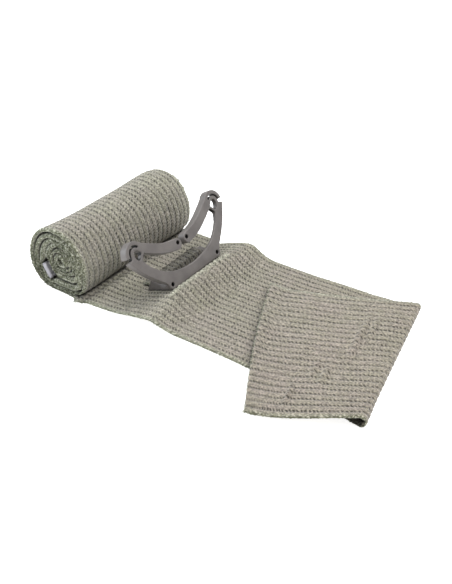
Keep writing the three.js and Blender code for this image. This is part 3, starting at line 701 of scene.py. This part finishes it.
def knit_group():
    """Ribbed knit: u counts ribs across the cloth and v is the length along it in metres."""
    name = "Ribbed knit"
    if name in bpy.data.node_groups:
        return bpy.data.node_groups[name]
    t, given, out = new_group(name, "ShaderNodeTree", [
        ("Stitch", "INPUT", "NodeSocketFloat", 0.002),
        ("Slant", "INPUT", "NodeSocketFloat", 1.6),
        ("Wander", "INPUT", "NodeSocketFloat", 0.25),
        ("Ribs", "INPUT", "NodeSocketFloat", 24.0),
        *((label, "OUTPUT", "NodeSocketFloat", None)
          for label in ("Groove", "Hole", "Crown", "Height", "Edge")),
    ])
    coords = t.add("ShaderNodeTexCoord")
    drift = t.add("ShaderNodeTexNoise", {"Vector": coords.outputs["Object"], "Scale": 420.0,
                                         "Detail": 2.0}).outputs[1]
    drift = t.add("ShaderNodeSeparateXYZ", {0: t.vector("SUBTRACT", drift, (0.5, 0.5, 0.5))}).outputs
    uv = t.add("ShaderNodeSeparateXYZ", {0: coords.outputs["UV"]}).outputs
    u = t.math("MULTIPLY_ADD", drift[0], given["Wander"], uv[0])
    v = t.math("DIVIDE", uv[1], given["Stitch"])
    v = t.math("MULTIPLY_ADD", drift[1], t.math("MULTIPLY", given["Wander"], 4.0), v)
    ridge = t.math("COSINE", t.math("MULTIPLY", u, TAU))
    groove = t.ramp(ridge, -0.1, 1.0)
    stroke = t.math("COSINE", t.math("MULTIPLY", t.math("MULTIPLY_ADD", u, given["Slant"], v), TAU))
    hole = t.math("MULTIPLY", t.ramp(stroke, -0.75, 0.35), t.ramp(ridge, -0.05, 0.7))
    crown = t.math("COSINE", t.math("MULTIPLY", t.math("MULTIPLY_ADD", u, -2.0, v), TAU))
    crown = t.math("MULTIPLY", t.ramp(crown, 0.1, 0.95), t.ramp(ridge, 0.2, -0.9))
    height = t.math("MULTIPLY_ADD", crown, -0.45, t.math("MULTIPLY", hole, -0.8))
    across = t.math("DIVIDE", t.math("ABSOLUTE", uv[0]), given["Ribs"])
    edge = t.ramp(t.math("ABSOLUTE", t.math("SUBTRACT", across, 0.5)), 0.462, 0.5)
    for value, label in ((groove, "Groove"), (hole, "Hole"), (crown, "Crown"), (height, "Height"),
                         (edge, "Edge")):
        t.link(value, out[label])
    return t.tree


def new_material(name, roughness, **constants):
    """A material with only its shader, and the constants set on the shader's own sockets."""
    material = bpy.data.materials.new(name)
    material.use_nodes = True
    t = Tree(material.node_tree)
    shader = material.node_tree.nodes["Principled BSDF"].inputs
    shader["Roughness"].default_value = roughness
    for label, value in constants.items():
        shader[label.replace("_", " ")].default_value = value
    return material, t, shader


def knit_material(cloth, colours):
    """Ribbed yarn with dark grooves and holes, flecked selvages, and the painted shade and painted
    highlight stored on the cloth.
    """
    name = "Elastic knit"
    if name in bpy.data.materials:
        return bpy.data.materials[name]
    material, t, shader = new_material(name, 0.92, Sheen_Weight=0.25, Sheen_Roughness=0.5,
                                       Specular_IOR_Level=0.25)
    knit = t.group(knit_group(), {"Stitch": cloth.stitch, "Ribs": float(cloth.ribs)}).outputs
    fibre = t.group(fibre_group(), {}).outputs
    pattern = {socket.name: socket for socket in (*knit, *fibre)}
    base = colours.rib[:]
    for label, share, yarn in YARN_LAYERS:
        base = t.blend(t.math("MULTIPLY", pattern[label], share), base, getattr(colours, yarn)[:])
    fading = t.math("MULTIPLY_ADD", fibre["Fading"], *HOLE_SHARES)
    base = t.blend(t.math("MULTIPLY", knit["Hole"], fading), base, colours.groove[:])
    rim = t.blend(fibre["Fleck"], colours.olive[:], colours.pale[:])
    base = t.blend(t.math("MULTIPLY", knit["Edge"], SELVAGE_SHARE), base, rim)
    along = t.add("ShaderNodeSeparateXYZ", {0: t.add("ShaderNodeTexCoord").outputs["Object"]}).outputs[0]
    cast = t.blend(t.ramp(along, *CAST_PLACES), colours.cool[:], colours.warm[:])
    base = t.blend(1.0, base, cast, "MULTIPLY")
    # Stored painted light: below zero it paints shade, above zero it paints the lip paler
    tone = t.add("ShaderNodeAttribute", attribute_name="tone").outputs[2]
    # Paler lip where the strip gathers: partly pale yarn, partly a painted highlight
    paler = t.math("MULTIPLY_ADD", fibre["Fleck"], *GATHERED_PALE_AND_LIT_SHARES)
    gathered_and_lit = t.math("MULTIPLY", t.math("MAXIMUM", tone, 0.0), paler)
    base = t.blend(gathered_and_lit, base, colours.pale[:])
    # Painted shade: darkens the cloth under the flap's free edge, beside the roll and on the strap
    painted_shade = t.math("MULTIPLY_ADD", t.math("MINIMUM", tone, 0.0), TUCK_SHADE, 1.0)
    light = t.math("MULTIPLY", t.math("MULTIPLY_ADD", fibre["Speckle"], *SPECKLE_LIGHT), painted_shade)
    light = t.add("ShaderNodeCombineColor", {0: light, 1: light, 2: light}).outputs[0]
    t.link(t.blend(1.0, base, light, "MULTIPLY"), shader["Base Color"])
    height = t.math("MULTIPLY_ADD", fibre["Speckle"], 0.22, knit["Height"])
    t.link(t.bump(height, 0.9, 0.5 * MM), shader["Normal"])
    return material


def yarn_material(colours):
    """Dark and light flecked yarn of the selvage loops."""
    name = "Selvage yarn"
    if name in bpy.data.materials:
        return bpy.data.materials[name]
    material, t, shader = new_material(name, 0.9, Sheen_Weight=0.3, Specular_IOR_Level=0.25)
    fibre = t.group(fibre_group(), {}).outputs
    base = t.blend(fibre["Fleck"], colours.olive[:], colours.pale[:])
    base = t.blend(t.math("MULTIPLY", fibre["Mottle"], 0.5), base, colours.tinge[:])
    t.link(base, shader["Base Color"])
    t.link(t.bump(fibre["Speckle"], 0.6, 0.2 * MM), shader["Normal"])
    return material


def plastic_material(name, base, grain):
    """Satin moulded plastic with a fine grain and slightly uneven gloss."""
    material, t, shader = new_material(name, GLOSS, Specular_IOR_Level=0.45)
    place = t.add("ShaderNodeTexCoord").outputs["Object"]
    cloud = t.noise(place, 90.0, 3.0, 0.55)
    fine = t.noise(place, 2600.0, 2.0, 0.5)
    darker, lighter = ((*(a * b for a, b in zip(base, shade)), 1) for shade in PLASTIC_SHADES)
    t.link(t.blend(t.ramp(cloud, 0.3, 0.7), darker, lighter), shader["Base Color"])
    t.link(t.math("MULTIPLY_ADD", cloud, 0.16, GLOSS - 0.08), shader["Roughness"])
    t.link(t.bump(fine, grain, 0.1 * MM), shader["Normal"])
    return material


def relief_tree():
    """Sinks the grooves between the ribs into both faces of the cloth."""
    name = "Knit relief"
    if name in bpy.data.node_groups:
        return bpy.data.node_groups[name]
    t, given, out = new_group(name, "GeometryNodeTree", [
        ("Geometry", "INPUT", "NodeSocketGeometry", None),
        ("Depth", "INPUT", "NodeSocketFloat", 0.0004),
        ("Unevenness", "INPUT", "NodeSocketFloat", 0.0001),
        ("Ribs", "INPUT", "NodeSocketFloat", 24.0),
        ("Material", "INPUT", "NodeSocketMaterial", None),
        ("Geometry", "OUTPUT", "NodeSocketGeometry", None),
    ])
    rib = t.stored("rib", "FLOAT")
    wave = t.math("COSINE", t.math("MULTIPLY", rib, TAU))
    wave = t.math("POWER", t.math("MULTIPLY_ADD", wave, 0.5, 0.5), 1.7)
    side = t.math("MINIMUM", rib, t.math("SUBTRACT", given["Ribs"], rib))
    inside = t.ramp(side, 0.1, 0.5)
    uneven = t.noise(t.add("GeometryNodeInputPosition").outputs[0], 260.0, 1.0, 0.5)
    depth = t.math("MULTIPLY", t.math("MULTIPLY", wave, given["Depth"]), inside)
    depth = t.math("MULTIPLY_ADD", uneven, given["Unevenness"], depth)
    normal = t.add("GeometryNodeInputNormal").outputs[0]
    offset = t.scaled(normal, t.math("MULTIPLY", depth, -1.0))
    moved = t.add("GeometryNodeSetPosition", {"Geometry": given["Geometry"], "Offset": offset}).outputs[0]
    t.finish(moved, given["Material"], out["Geometry"])
    return t.tree


def selvage_tree():
    """Sets small yarn loops along the cloth's edges, each standing out in the cloth's own plane."""
    name = "Selvage loops"
    if name in bpy.data.node_groups:
        return bpy.data.node_groups[name]
    t, given, out = new_group(name, "GeometryNodeTree", [
        ("Geometry", "INPUT", "NodeSocketGeometry", None),
        ("Pitch", "INPUT", "NodeSocketFloat", 0.002),
        ("Loop radius", "INPUT", "NodeSocketFloat", 0.0008),
        ("Yarn radius", "INPUT", "NodeSocketFloat", 0.0003),
        ("Seed", "INPUT", "NodeSocketInt", LOOP_SEED),
        ("Material", "INPUT", "NodeSocketMaterial", None),
        ("Geometry", "OUTPUT", "NodeSocketGeometry", None),
    ])
    curve = t.add("GeometryNodeMeshToCurve", {0: given["Geometry"]}).outputs[0]
    even = t.add("GeometryNodeResampleCurve", {"Curve": curve, "Length": given["Pitch"]}, mode="LENGTH")
    ring = t.circle(8, given["Loop radius"])
    yarn = t.circle(4, given["Yarn radius"])
    loop = t.add("GeometryNodeCurveToMesh", {"Curve": ring, "Profile Curve": yarn}).outputs[0]
    loop = t.add("GeometryNodeSetShadeSmooth", {"Geometry": loop}).outputs[0]
    axes = {"Primary Axis": t.stored("face", "FLOAT_VECTOR"),
            "Secondary Axis": t.stored("outward", "FLOAT_VECTOR")}
    turn = t.add("FunctionNodeAxesToRotation", axes).outputs[0]
    shift = t.add("FunctionNodeRandomValue", {"Seed": given["Seed"]}, data_type="FLOAT")
    shift.inputs[2].default_value, shift.inputs[3].default_value = LOOP_SIZES
    tilt = t.add("FunctionNodeRandomValue", {"Seed": given["Seed"]}, data_type="FLOAT_VECTOR")
    tilt.inputs[0].default_value, tilt.inputs[1].default_value = [-a for a in LOOP_TILT], LOOP_TILT
    tilted = t.add("FunctionNodeEulerToRotation", {0: tilt.outputs[0]}).outputs[0]
    turn = t.add("FunctionNodeRotateRotation", {0: turn, 1: tilted}, rotation_space="LOCAL").outputs[0]
    size = t.math("MULTIPLY", shift.outputs[1], t.stored("grow", "FLOAT"))
    placed = t.add("GeometryNodeInstanceOnPoints", {
        "Points": even.outputs[0], "Instance": loop, "Rotation": turn, "Scale": size,
    }).outputs[0]
    t.finish(placed, given["Material"], out["Geometry"])
    return t.tree


def evaluated_mesh(piece):
    """A plain mesh of the piece as its modifiers leave it."""
    deps = bpy.context.evaluated_depsgraph_get()
    return bpy.data.meshes.new_from_object(piece.evaluated_get(deps), preserve_all_data_layers=True,
                                           depsgraph=deps)


def grown(name, mesh, tree, values):
    """Runs a node tree on a mesh and returns the result as a plain piece."""
    seed = bpy.data.objects.new(name + "_seed", mesh)
    bpy.context.scene.collection.objects.link(seed)
    modifier = seed.modifiers.new("Shape", "NODES")
    modifier.node_group = tree
    for item in tree.interface.items_tree:
        if item.item_type == "SOCKET" and item.in_out == "INPUT" and item.name in values:
            modifier[item.identifier] = values[item.name]
    result = evaluated_mesh(seed)
    bpy.data.objects.remove(seed)
    result.name = name
    return add_piece(name, result)


def add_piece(name, mesh):
    piece = bpy.data.objects.new(name, mesh)
    bpy.context.scene.collection.objects.link(piece)
    return piece


def edge_lines(grids):
    """Edge lines of cloth grids as a mesh of single edges, with the cloth's directions stored."""
    points, edges, face, outward, grow = [], [], [], [], []
    for line, normals, out, sizes in grids:
        first = len(points)
        points += line.tolist()
        grow += list(sizes)
        edges += [(first + i, first + i + 1) for i in range(len(line) - 1)]
        face += normals.tolist()
        outward += out.tolist()
    mesh = bpy.data.meshes.new("edge_lines")
    mesh.from_pydata(points, edges, [])
    for label, values in (("face", face), ("outward", outward)):
        stored = mesh.attributes.new(label, "FLOAT_VECTOR", "POINT")
        stored.data.foreach_set("vector", np.array(values, np.float32).ravel())
    stored = mesh.attributes.new("grow", "FLOAT", "POINT")
    stored.data.foreach_set("value", np.array(grow, np.float32))
    return mesh


def selvages(grid, inset, rolled):
    """The two long edges and the free end of a grid, with their normals, outward directions and sizes."""
    along, across = np.gradient(grid, axis=0), np.gradient(grid, axis=1)
    normal = np.cross(along, across)

    def unit(a):
        return a / np.linalg.norm(a, axis=1, keepdims=True)

    lines = []
    for pick, out in (((slice(None), 0), -across[:, 0]), ((slice(None), -1), across[:, -1]),
                      ((-1, slice(None)), along[-1])):
        full = rolled if len(out) == len(grid) else 0
        sizes = np.where(np.arange(len(out)) < full, 1.0, LOOP_OFF_ROLL)
        lines.append((grid[pick] - unit(out) * inset, unit(normal[pick]), unit(out), sizes))
    return lines


def spline(points, steps=10):
    """A smooth line through its points, for the moulding's outlines and the strap's path."""
    p = np.array(points, float)
    p = np.concatenate([p[:1], p, p[-1:]])
    line = [p[1]]
    for i in range(1, len(p) - 2):
        for k in np.arange(1, steps + 1) / steps:
            a, b, c, d = p[i - 1:i + 3]
            v0, v1 = (c - a) / 2, (d - b) / 2
            line.append((2 * b - 2 * c + v0 + v1) * k ** 3 + (-3 * b + 3 * c - 2 * v0 - v1) * k ** 2
                        + v0 * k + b)
    return [tuple(q) for q in line]


def arc(u, v, radius, start, end, steps=24):
    angles = np.radians(np.linspace(start, end, steps + 1))
    return [(u + radius * math.cos(a), v + radius * math.sin(a)) for a in angles]


def disc(u, v, radius):
    return arc(u, v, radius, 0, 360, 32)[:-1]


def extruded(points):
    """A closed solid between two like outlines, given one after the other."""
    count = len(points) // 2
    faces = [list(range(count)), list(range(2 * count - 1, count - 1, -1))]
    faces += [[i, i + count, (i + 1) % count + count, (i + 1) % count] for i in range(count)]
    return solid_mesh(points, faces)


def prism(outline, front, back):
    """A closed solid from an outline drawn in u and v, between two depths behind the face."""
    return extruded([(u, v, -w) for w in (front, back) for u, v in outline])


def crosswise(outline, width):
    """A closed solid from an outline drawn in depth and height, extruded across."""
    return extruded([(s * width / 2, v, -w) for s in (-1, 1) for w, v in outline])


def solid_mesh(points, faces):
    """A mesh whose faces point outwards."""
    mesh = bpy.data.meshes.new("solid")
    mesh.from_pydata(points, [], faces)
    volume = 0
    for face in faces:
        a = Vector(points[face[0]])
        for i in range(1, len(face) - 1):
            volume += a.dot(Vector(points[face[i]]).cross(Vector(points[face[i + 1]])))
    if volume < 0:
        mesh.flip_normals()
    return mesh


def combine(base, others, operation):
    """Joins solids to a base, or cuts them out of it."""
    piece = add_piece("moulding_part", base)
    cutters = [add_piece("moulding_part", mesh) for mesh in others]
    for cutter in cutters:
        modifier = piece.modifiers.new("Cut", "BOOLEAN")
        modifier.solver = "EXACT"
        modifier.operation = operation
        modifier.object = cutter
    result = evaluated_mesh(piece)
    for spent in [piece, *cutters]:
        bpy.data.objects.remove(spent)
    return result


def mirrored(outline):
    return [(-u, v) for u, v in reversed(outline)]


class MouldingShape:
    """Outlines of the applicator, drawn up its face, and the solid made of them."""

    def __init__(self, moulding, shape):
        self.m = moulding
        self.s = shape
        self.ring_u = moulding.ring_spacing / 2
        self.hook_radius = moulding.ring_radius + moulding.slit + moulding.hook_width

    def at_ring(self, u, v):
        r = self.m.ring_radius
        return self.ring_u + u * r, self.m.ring_height + v * r

    def arc_edge(self):
        m, front = self.m, self.s.foot_front
        boss = (BASE_HOLE + 0.75 * m.boss, front + 0.3 * m.boss)
        shoulder = (self.ring_u + self.hook_radius - 0.2 * MM, m.ring_height - m.hook_width)
        return [(mix(boss[0], shoulder[0], a), mix(boss[1], shoulder[1], b))
                for a, b in ((0, 0), (0.13, 0.19), (0.44, 0.42), (0.7, 0.65), (0.86, 0.83), (1, 1))]

    def arc(self):
        m, front = self.m, self.s.foot_front
        r, ring = m.ring_radius, m.ring_height
        outer = self.arc_edge()
        end = (self.ring_u - 0.8 * r, ring - 1.6 * r)
        crown = front + m.arc_width
        inner = [(end[0] * a, mix(crown, end[1], b)) for a, b in
                 ((1, 1), (0.9, 0.72), (0.74, 0.42), (0.56, 0.21), (0.35, 0.08), (0.12, 0.01))]
        outline = [(-BASE_HOLE, front), (BASE_HOLE, front), *spline(outer), (self.ring_u, ring)]
        outline += spline([*inner, *mirrored(inner)])
        outline += [(-self.ring_u, ring), *spline(mirrored(outer))]
        return outline

    def lip(self):
        edge, lip = self.arc_edge()[1:], self.m.lip
        within = [(u - 0.8 * lip, v + 0.6 * lip) for u, v in edge]
        within[-1] = (edge[-1][0] - lip, edge[-1][1])
        return [*spline(edge), *spline(within[::-1])]

    def arm(self):
        m, r, ring = self.m, self.m.ring_radius, self.m.ring_height
        boss = (ARM_HOLE[0] + 0.5 * MM, ARM_HOLE[1] - 0.55 * MM)
        top = (self.ring_u - 1.2 * r, ring + 1.35 * r)
        bottom = (self.ring_u - 1.6 * r, ring - 0.5 * r)
        half = m.arm_width / 2
        edges = ((0, 0), (0.28, 0.13), (0.53, 0.36), (0.79, 0.69), (1, 1))
        upper = [(mix(boss[0], top[0], a), mix(boss[1] + half, top[1], b)) for a, b in edges]
        lower = [(mix(boss[0], bottom[0], a), mix(boss[1] - half, bottom[1], b)) for a, b in edges]
        return [*spline(lower), (self.ring_u - 0.5 * r, ring), *spline(upper[::-1]),
                *arc(*boss, half, 90, 270)[1:-1]]

    def sector(self, inner, outer, start, end):
        centre = (self.ring_u, self.m.ring_height)
        return [*arc(*centre, outer, start, end), *arc(*centre, inner, end, start)]

    def ring_hole(self):
        at = self.at_ring
        return spline([at(-1.05, -0.15), at(-0.3, -0.95), at(0.16, -0.76), at(0.42, -0.3), at(0.42, 0.1),
                       at(0.24, 0.44), at(-0.1, 0.52), at(-0.55, 0.33), at(-1.05, -0.15)], 5)[:-1]

    def crossbar(self):
        at = self.at_ring
        return [at(-1.5, -0.2), at(-0.52, -1.4), at(-0.2, -1), at(-1.2, 0.2)]

    def upper(self):
        """Rings, crossbars, arms, hooks and lips, with a slit beside each hook."""
        m, through = self.m, self.m.slot_start + MM
        ring, slit = m.ring_radius, m.ring_radius + m.slit
        parts = []
        for outline, depth in ((disc(self.ring_u, m.ring_height, ring), m.ring_depth),
                               (self.crossbar(), m.ring_depth), (self.arm(), m.arm_depth),
                               (self.sector(slit, self.hook_radius, *HOOK_SWEEP), m.arm_depth),
                               (self.lip(), m.lip_depth)):
            parts += [prism(outline, 0, depth), prism(mirrored(outline), 0, depth)]
        cut = self.sector(ring, slit, *SLIT_SWEEP)
        slits = [prism(cut, -MM, through), prism(mirrored(cut), -MM, through)]
        return combine(combine(parts[0], parts[1:], "UNION"), slits, "DIFFERENCE")

    def foot(self):
        """The foot behind the face, with the slot that the strap goes through."""
        m, s, d = self.m, self.s, self.m.slot_start
        under, deep = s.foot_under, m.foot_depth
        foot = crosswise([(FOOT_START, under(FOOT_START)), (deep, under(deep)),
                          (FOOT_TOP_DEPTH, s.foot_top(FOOT_TOP_DEPTH)), (d, s.foot_top(d)),
                          (FOOT_START, s.foot_front + MM)], m.foot_width)
        back = d + m.slot_gap
        high = m.foot_height
        slot = crosswise([(d, -high), (back, -high), (back, high), (d, high)], m.slot_width)
        return combine(foot, [slot], "DIFFERENCE")

    def thin_arc(self):
        """The arc, thin at its middle and as deep as the rings where it meets them."""
        m, d, high = self.m, self.m.slot_start, self.m.foot_height
        low, top = m.ring_height - 2.4 * m.ring_radius, m.ring_height - 0.8 * m.ring_radius
        behind = crosswise([(m.arc_depth, -high), (m.arc_depth, low), (m.ring_depth, top), (d, top),
                            (d, -high)], 2 * m.ring_spacing)
        return combine(prism(self.arc(), 0, m.ring_depth), [behind], "DIFFERENCE")

    def cuts(self):
        """What is cut from the whole: all below the foot, the rings' holes and the round holes."""
        m, d, deep, under = self.m, self.m.slot_start, self.m.foot_depth, self.s.foot_under
        below = crosswise([(-MM, under(-MM)), (-MM, under(-MM) - m.arc_width),
                           (deep + MM, under(deep + MM) - m.arc_width), (deep + MM, under(deep + MM))],
                          m.ring_spacing)
        hole = self.ring_hole()
        cuts = [below, prism(hole, -MM, d + MM), prism(mirrored(hole), -MM, d + MM)]
        for side in (-1, 1):
            cuts.append(prism(disc(side * BASE_HOLE, 0, m.hole / 2), -MM, BASE_HOLE_DEPTH))
            cuts.append(prism(disc(side * ARM_HOLE[0], ARM_HOLE[1], m.hole / 2), -MM, d + MM))
        return cuts

    def build(self):
        """The whole moulding, in its own axes."""
        m = self.m
        bosses = [prism(disc(side * BASE_HOLE, 0, m.boss), 0, m.slot_start) for side in (-1, 1)]
        whole = combine(self.thin_arc(), [self.upper(), self.foot(), *bosses], "UNION")
        return combine(whole, self.cuts(), "DIFFERENCE")

    def in_bore(self, face):
        """Whether a face lies inside a round hole or on the walls of a slit."""
        m = self.m
        u, v, w = face.center
        bores = [math.hypot(abs(u) - BASE_HOLE, v), math.hypot(abs(u) - ARM_HOLE[0], v - ARM_HOLE[1])]
        ring = math.hypot(abs(u) - self.ring_u, v - m.ring_height) - m.ring_radius
        slit = -m.grain < ring < m.slit + m.grain and abs(face.normal.z) < 0.5
        bore = min(bores) < (m.hole + m.grain) / 2
        return (bore or slit) and w < -2 * m.grain

    def place(self):
        """From the moulding's own axes to the scene's."""
        s = self.s
        axes = Matrix(((0, -s.sin, s.cos), (1, 0, 0), (0, s.cos, s.sin))).to_4x4()
        axes.translation = (0, 0, s.face_z)
        return on_wrap(self.m) @ axes


def on_wrap(moulding):
    """Where the applicator and its strap are set on the strip, turned a little."""
    there = Matrix.Translation((moulding.place_x, moulding.place_y, 0))
    return Matrix.Translation(-ORIGIN) @ there @ Matrix.Rotation(moulding.yaw, 4, "Z")


def relief(cloth, colours, ribs):
    """Values of the relief tree for a piece with so many ribs."""
    return {"Depth": cloth.rib_depth, "Unevenness": cloth.unevenness, "Ribs": float(ribs),
            "Material": knit_material(cloth, colours)}


def applied(piece):
    """Turns the piece's modifiers into its mesh."""
    result = evaluated_mesh(piece)
    piece.modifiers.clear()
    piece.data = result
    return result


class BANDAGE_OT_wrap(bpy.types.Operator):
    """Knit the wrap: the roll, the strip, the fold and the flap, with its selvage loops"""
    bl_idname = "bandage.wrap"
    bl_label = "Knitted wrap"

    def execute(self, context):
        cloth, moulding, colours = settings(context)
        t = np.linspace(-1, 1, cloth.ribs * RIB_COLUMNS + 1)
        grid, half, tone, rolled = ClothShape(cloth, moulding).rows(t)
        half = edge_half(*grid.shape[:2], half)
        mesh, run = cloth_shell("knit_wrap", grid, half, cloth.ribs, tone)
        wrap = grown("knit_wrap", mesh, relief_tree(), relief(cloth, colours, cloth.ribs))
        lines = edge_lines(selvages(grid, LOOP_INSET * cloth.loop_radius, rolled))
        loops = grown("selvage_loops", lines, selvage_tree(), {
            "Pitch": cloth.loop_pitch, "Loop radius": cloth.loop_radius,
            "Yarn radius": cloth.yarn_radius, "Seed": LOOP_SEED, "Material": yarn_material(colours)})
        for piece in (wrap, loops):
            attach(piece, BODY)
        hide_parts("wrap")
        return {"FINISHED"}


class BANDAGE_OT_strap(bpy.types.Operator):
    """Knit the strap that holds the applicator's foot to the strip"""
    bl_idname = "bandage.strap"
    bl_label = "Foot strap"

    def execute(self, context):
        cloth, m, colours = settings(context)
        path = ClothShape(cloth, m).strap_path()
        across = np.linspace(-1, 1, STRAP_RIBS * RIB_COLUMNS + 1) * (m.slot_width / 2 - STRAP_ROOM)
        grid = np.array([[(p[0] - m.place_x, u, p[1]) for u in across] for p in path])
        # Painted shade over the whole strap, which lies in the foot's slot behind the arc
        tone = np.full(grid.shape[:2], STRAP_PAINTED_SHADE)
        half = edge_half(*grid.shape[:2], m.strap / 2)
        mesh, run = cloth_shell("knit_strap", grid, half, STRAP_RIBS, tone)
        mesh.transform(on_wrap(m))
        strap = grown("knit_strap", mesh, relief_tree(), relief(cloth, colours, STRAP_RIBS))
        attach(strap, BODY)
        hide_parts("foot_strap")
        return {"FINISHED"}


class BANDAGE_OT_applicator(bpy.types.Operator):
    """Mould the pressure applicator, with softly rounded edges"""
    bl_idname = "bandage.applicator"
    bl_label = "Pressure applicator"

    def execute(self, context):
        cloth, moulding, colours = settings(context)
        shape = MouldingShape(moulding, ClothShape(cloth, moulding))
        piece = add_piece("moulded_applicator", shape.build())
        grain = piece.modifiers.new("Even out", "REMESH")
        grain.mode, grain.voxel_size, grain.use_smooth_shade = "VOXEL", moulding.grain, True
        soften = piece.modifiers.new("Soften", "SMOOTH")
        soften.factor, soften.iterations = SOFTENING, SOFTENING_PASSES
        mesh = applied(piece)
        mesh.materials.clear()
        mesh.materials.append(plastic_material("Moulded plastic", colours.moulding, 0.25))
        # The second material paints shade: near-black on the walls of the round holes and the slits.
        mesh.materials.append(new_material("Bores", 0.6, Base_Color=colours.bore)[0])
        for face in mesh.polygons:
            face.material_index = int(shape.in_bore(face))
        mesh.transform(shape.place())
        mesh.shade_smooth()
        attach(piece, BODY)
        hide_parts("pressure_applicator")
        return {"FINISHED"}


class BANDAGE_OT_closure_bar(bpy.types.Operator):
    """Mould the closure bar that is wound into the roll"""
    bl_idname = "bandage.closure_bar"
    bl_label = "Closure bar"

    def execute(self, context):
        cloth, m, colours = settings(context)
        shape = ClothShape(cloth, m)
        inside = cloth.thickness / 2 + cloth.seat_gap + WAIST * cloth.swell
        half = m.bar_width / (2 * TAU * (shape.roll_radius(BAR_MIDDLE)[2] - inside - m.bar_thickness / 2))
        spread = np.linspace(-1, 1, BAR_STEPS + 1)
        outer = [shape.roll_point(BAR_MIDDLE + half * k, inside)[:2] for k in spread]
        inner = [shape.roll_point(BAR_MIDDLE + half * k, inside + m.bar_thickness)[:2] for k in spread]
        outline = [*outer, *inner[::-1]]
        near = -cloth.width / 2
        mesh = extruded([(x, y, z) for y in (near, near + m.bar_length) for x, z in outline])
        mesh.transform(Matrix.Translation(-ORIGIN))
        bar = add_piece("closure_strip", mesh)
        bevel = bar.modifiers.new("Round", "BEVEL")
        bevel.width, bevel.segments, bevel.use_clamp_overlap = BAR_ROUNDING, 3, False
        bevel.limit_method, bevel.angle_limit = "ANGLE", math.radians(40)
        mesh = applied(bar)
        mesh.materials.append(plastic_material("Bar plastic", colours.bar, 0.15))
        mesh.shade_smooth()
        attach(bar, BODY)
        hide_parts("closure_bar")
        return {"FINISHED"}


def aimed(name, data, place, target):
    """Puts a light or a camera in the scene, turned towards its target."""
    holder = bpy.data.objects.new(name, data)
    holder.location = place
    holder.rotation_euler = (Vector(target) - Vector(place)).to_track_quat("-Z", "Y").to_euler()
    bpy.context.scene.collection.objects.link(holder)
    return holder


class BANDAGE_OT_stage(bpy.types.Operator):
    """Set up the floor, the lights and the camera"""
    bl_idname = "bandage.stage"
    bl_label = "Stage"

    def execute(self, context):
        stage = context.scene.bandage_stage
        corners = [(a * FLOOR_HALF, b * FLOOR_HALF, 0) for a, b in ((-1, -1), (1, -1), (1, 1), (-1, 1))]
        mesh = solid_mesh(corners, [[0, 1, 2, 3]])
        floor = add_piece("floor", mesh)
        material, t, shader = new_material("Floor", 0.9, Emission_Color=(1, 1, 1, 1),
                                           Emission_Strength=FLOOR_GLOW)
        place = t.add("ShaderNodeTexCoord").outputs["Object"]
        shade = tuple(c * FLOOR_SHADE for c in stage.floor[:3]) + (1,)
        t.link(t.blend(t.noise(place, 3.0), stage.floor[:], shade), shader["Base Color"])
        mesh.materials.append(material)
        world = bpy.data.worlds.new("Studio")
        world.use_nodes = True
        light = world.node_tree.nodes["Background"].inputs
        light["Color"].default_value, light["Strength"].default_value = (1, 1, 1, 1), stage.daylight
        context.scene.world = world
        for name, setting, size, tint, place in LAMPS:
            lamp = bpy.data.lights.new(name, "AREA")
            lamp.energy, lamp.size, lamp.color = getattr(stage, setting), size, tint
            aimed(name, lamp, place, (0, 0, 0))
        camera = bpy.data.cameras.new("Camera")
        camera.lens, camera.sensor_width, camera.sensor_fit = stage.lens, 36, "AUTO"
        camera.clip_start = CLIP_START
        context.scene.camera = aimed("Camera", camera, stage.camera, stage.target)
        context.scene.view_settings.view_transform = "Standard"
        return {"FINISHED"}


class BANDAGE_PT_panel(bpy.types.Panel):
    """Lists the bandage's pieces"""
    bl_label = "Bandage"
    bl_idname = "BANDAGE_PT_panel"
    bl_space_type = "VIEW_3D"
    bl_region_type = "UI"
    bl_category = "Bandage"

    def draw(self, context):
        for operator in OPERATORS:
            self.layout.operator(operator.bl_idname)
        for group in GROUPS:
            box = self.layout.box()
            for name in GROUPS[group].__annotations__:
                box.prop(getattr(context.scene, group), name)


OPERATORS = (BANDAGE_OT_stage, BANDAGE_OT_applicator, BANDAGE_OT_closure_bar, BANDAGE_OT_wrap,
             BANDAGE_OT_strap)
GROUPS = {"bandage_cloth": ClothSizes, "bandage_moulding": MouldingSizes,
          "bandage_colours": BandageColours, "bandage_stage": StageSettings}


def settings(context):
    scene = context.scene
    return scene.bandage_cloth, scene.bandage_moulding, scene.bandage_colours


def register():
    for cls in (*GROUPS.values(), *OPERATORS, BANDAGE_PT_panel):
        bpy.utils.register_class(cls)
    for name, group in GROUPS.items():
        setattr(bpy.types.Scene, name, PointerProperty(type=group))


def unregister():
    for name in GROUPS:
        delattr(bpy.types.Scene, name)
    for cls in (BANDAGE_PT_panel, *reversed(OPERATORS), *reversed(GROUPS.values())):
        bpy.utils.unregister_class(cls)


def main():
    register()
    for operator in OPERATORS:
        family, name = operator.bl_idname.split(".")
        getattr(getattr(bpy.ops, family), name)()


if __name__ == "__main__":
    main()
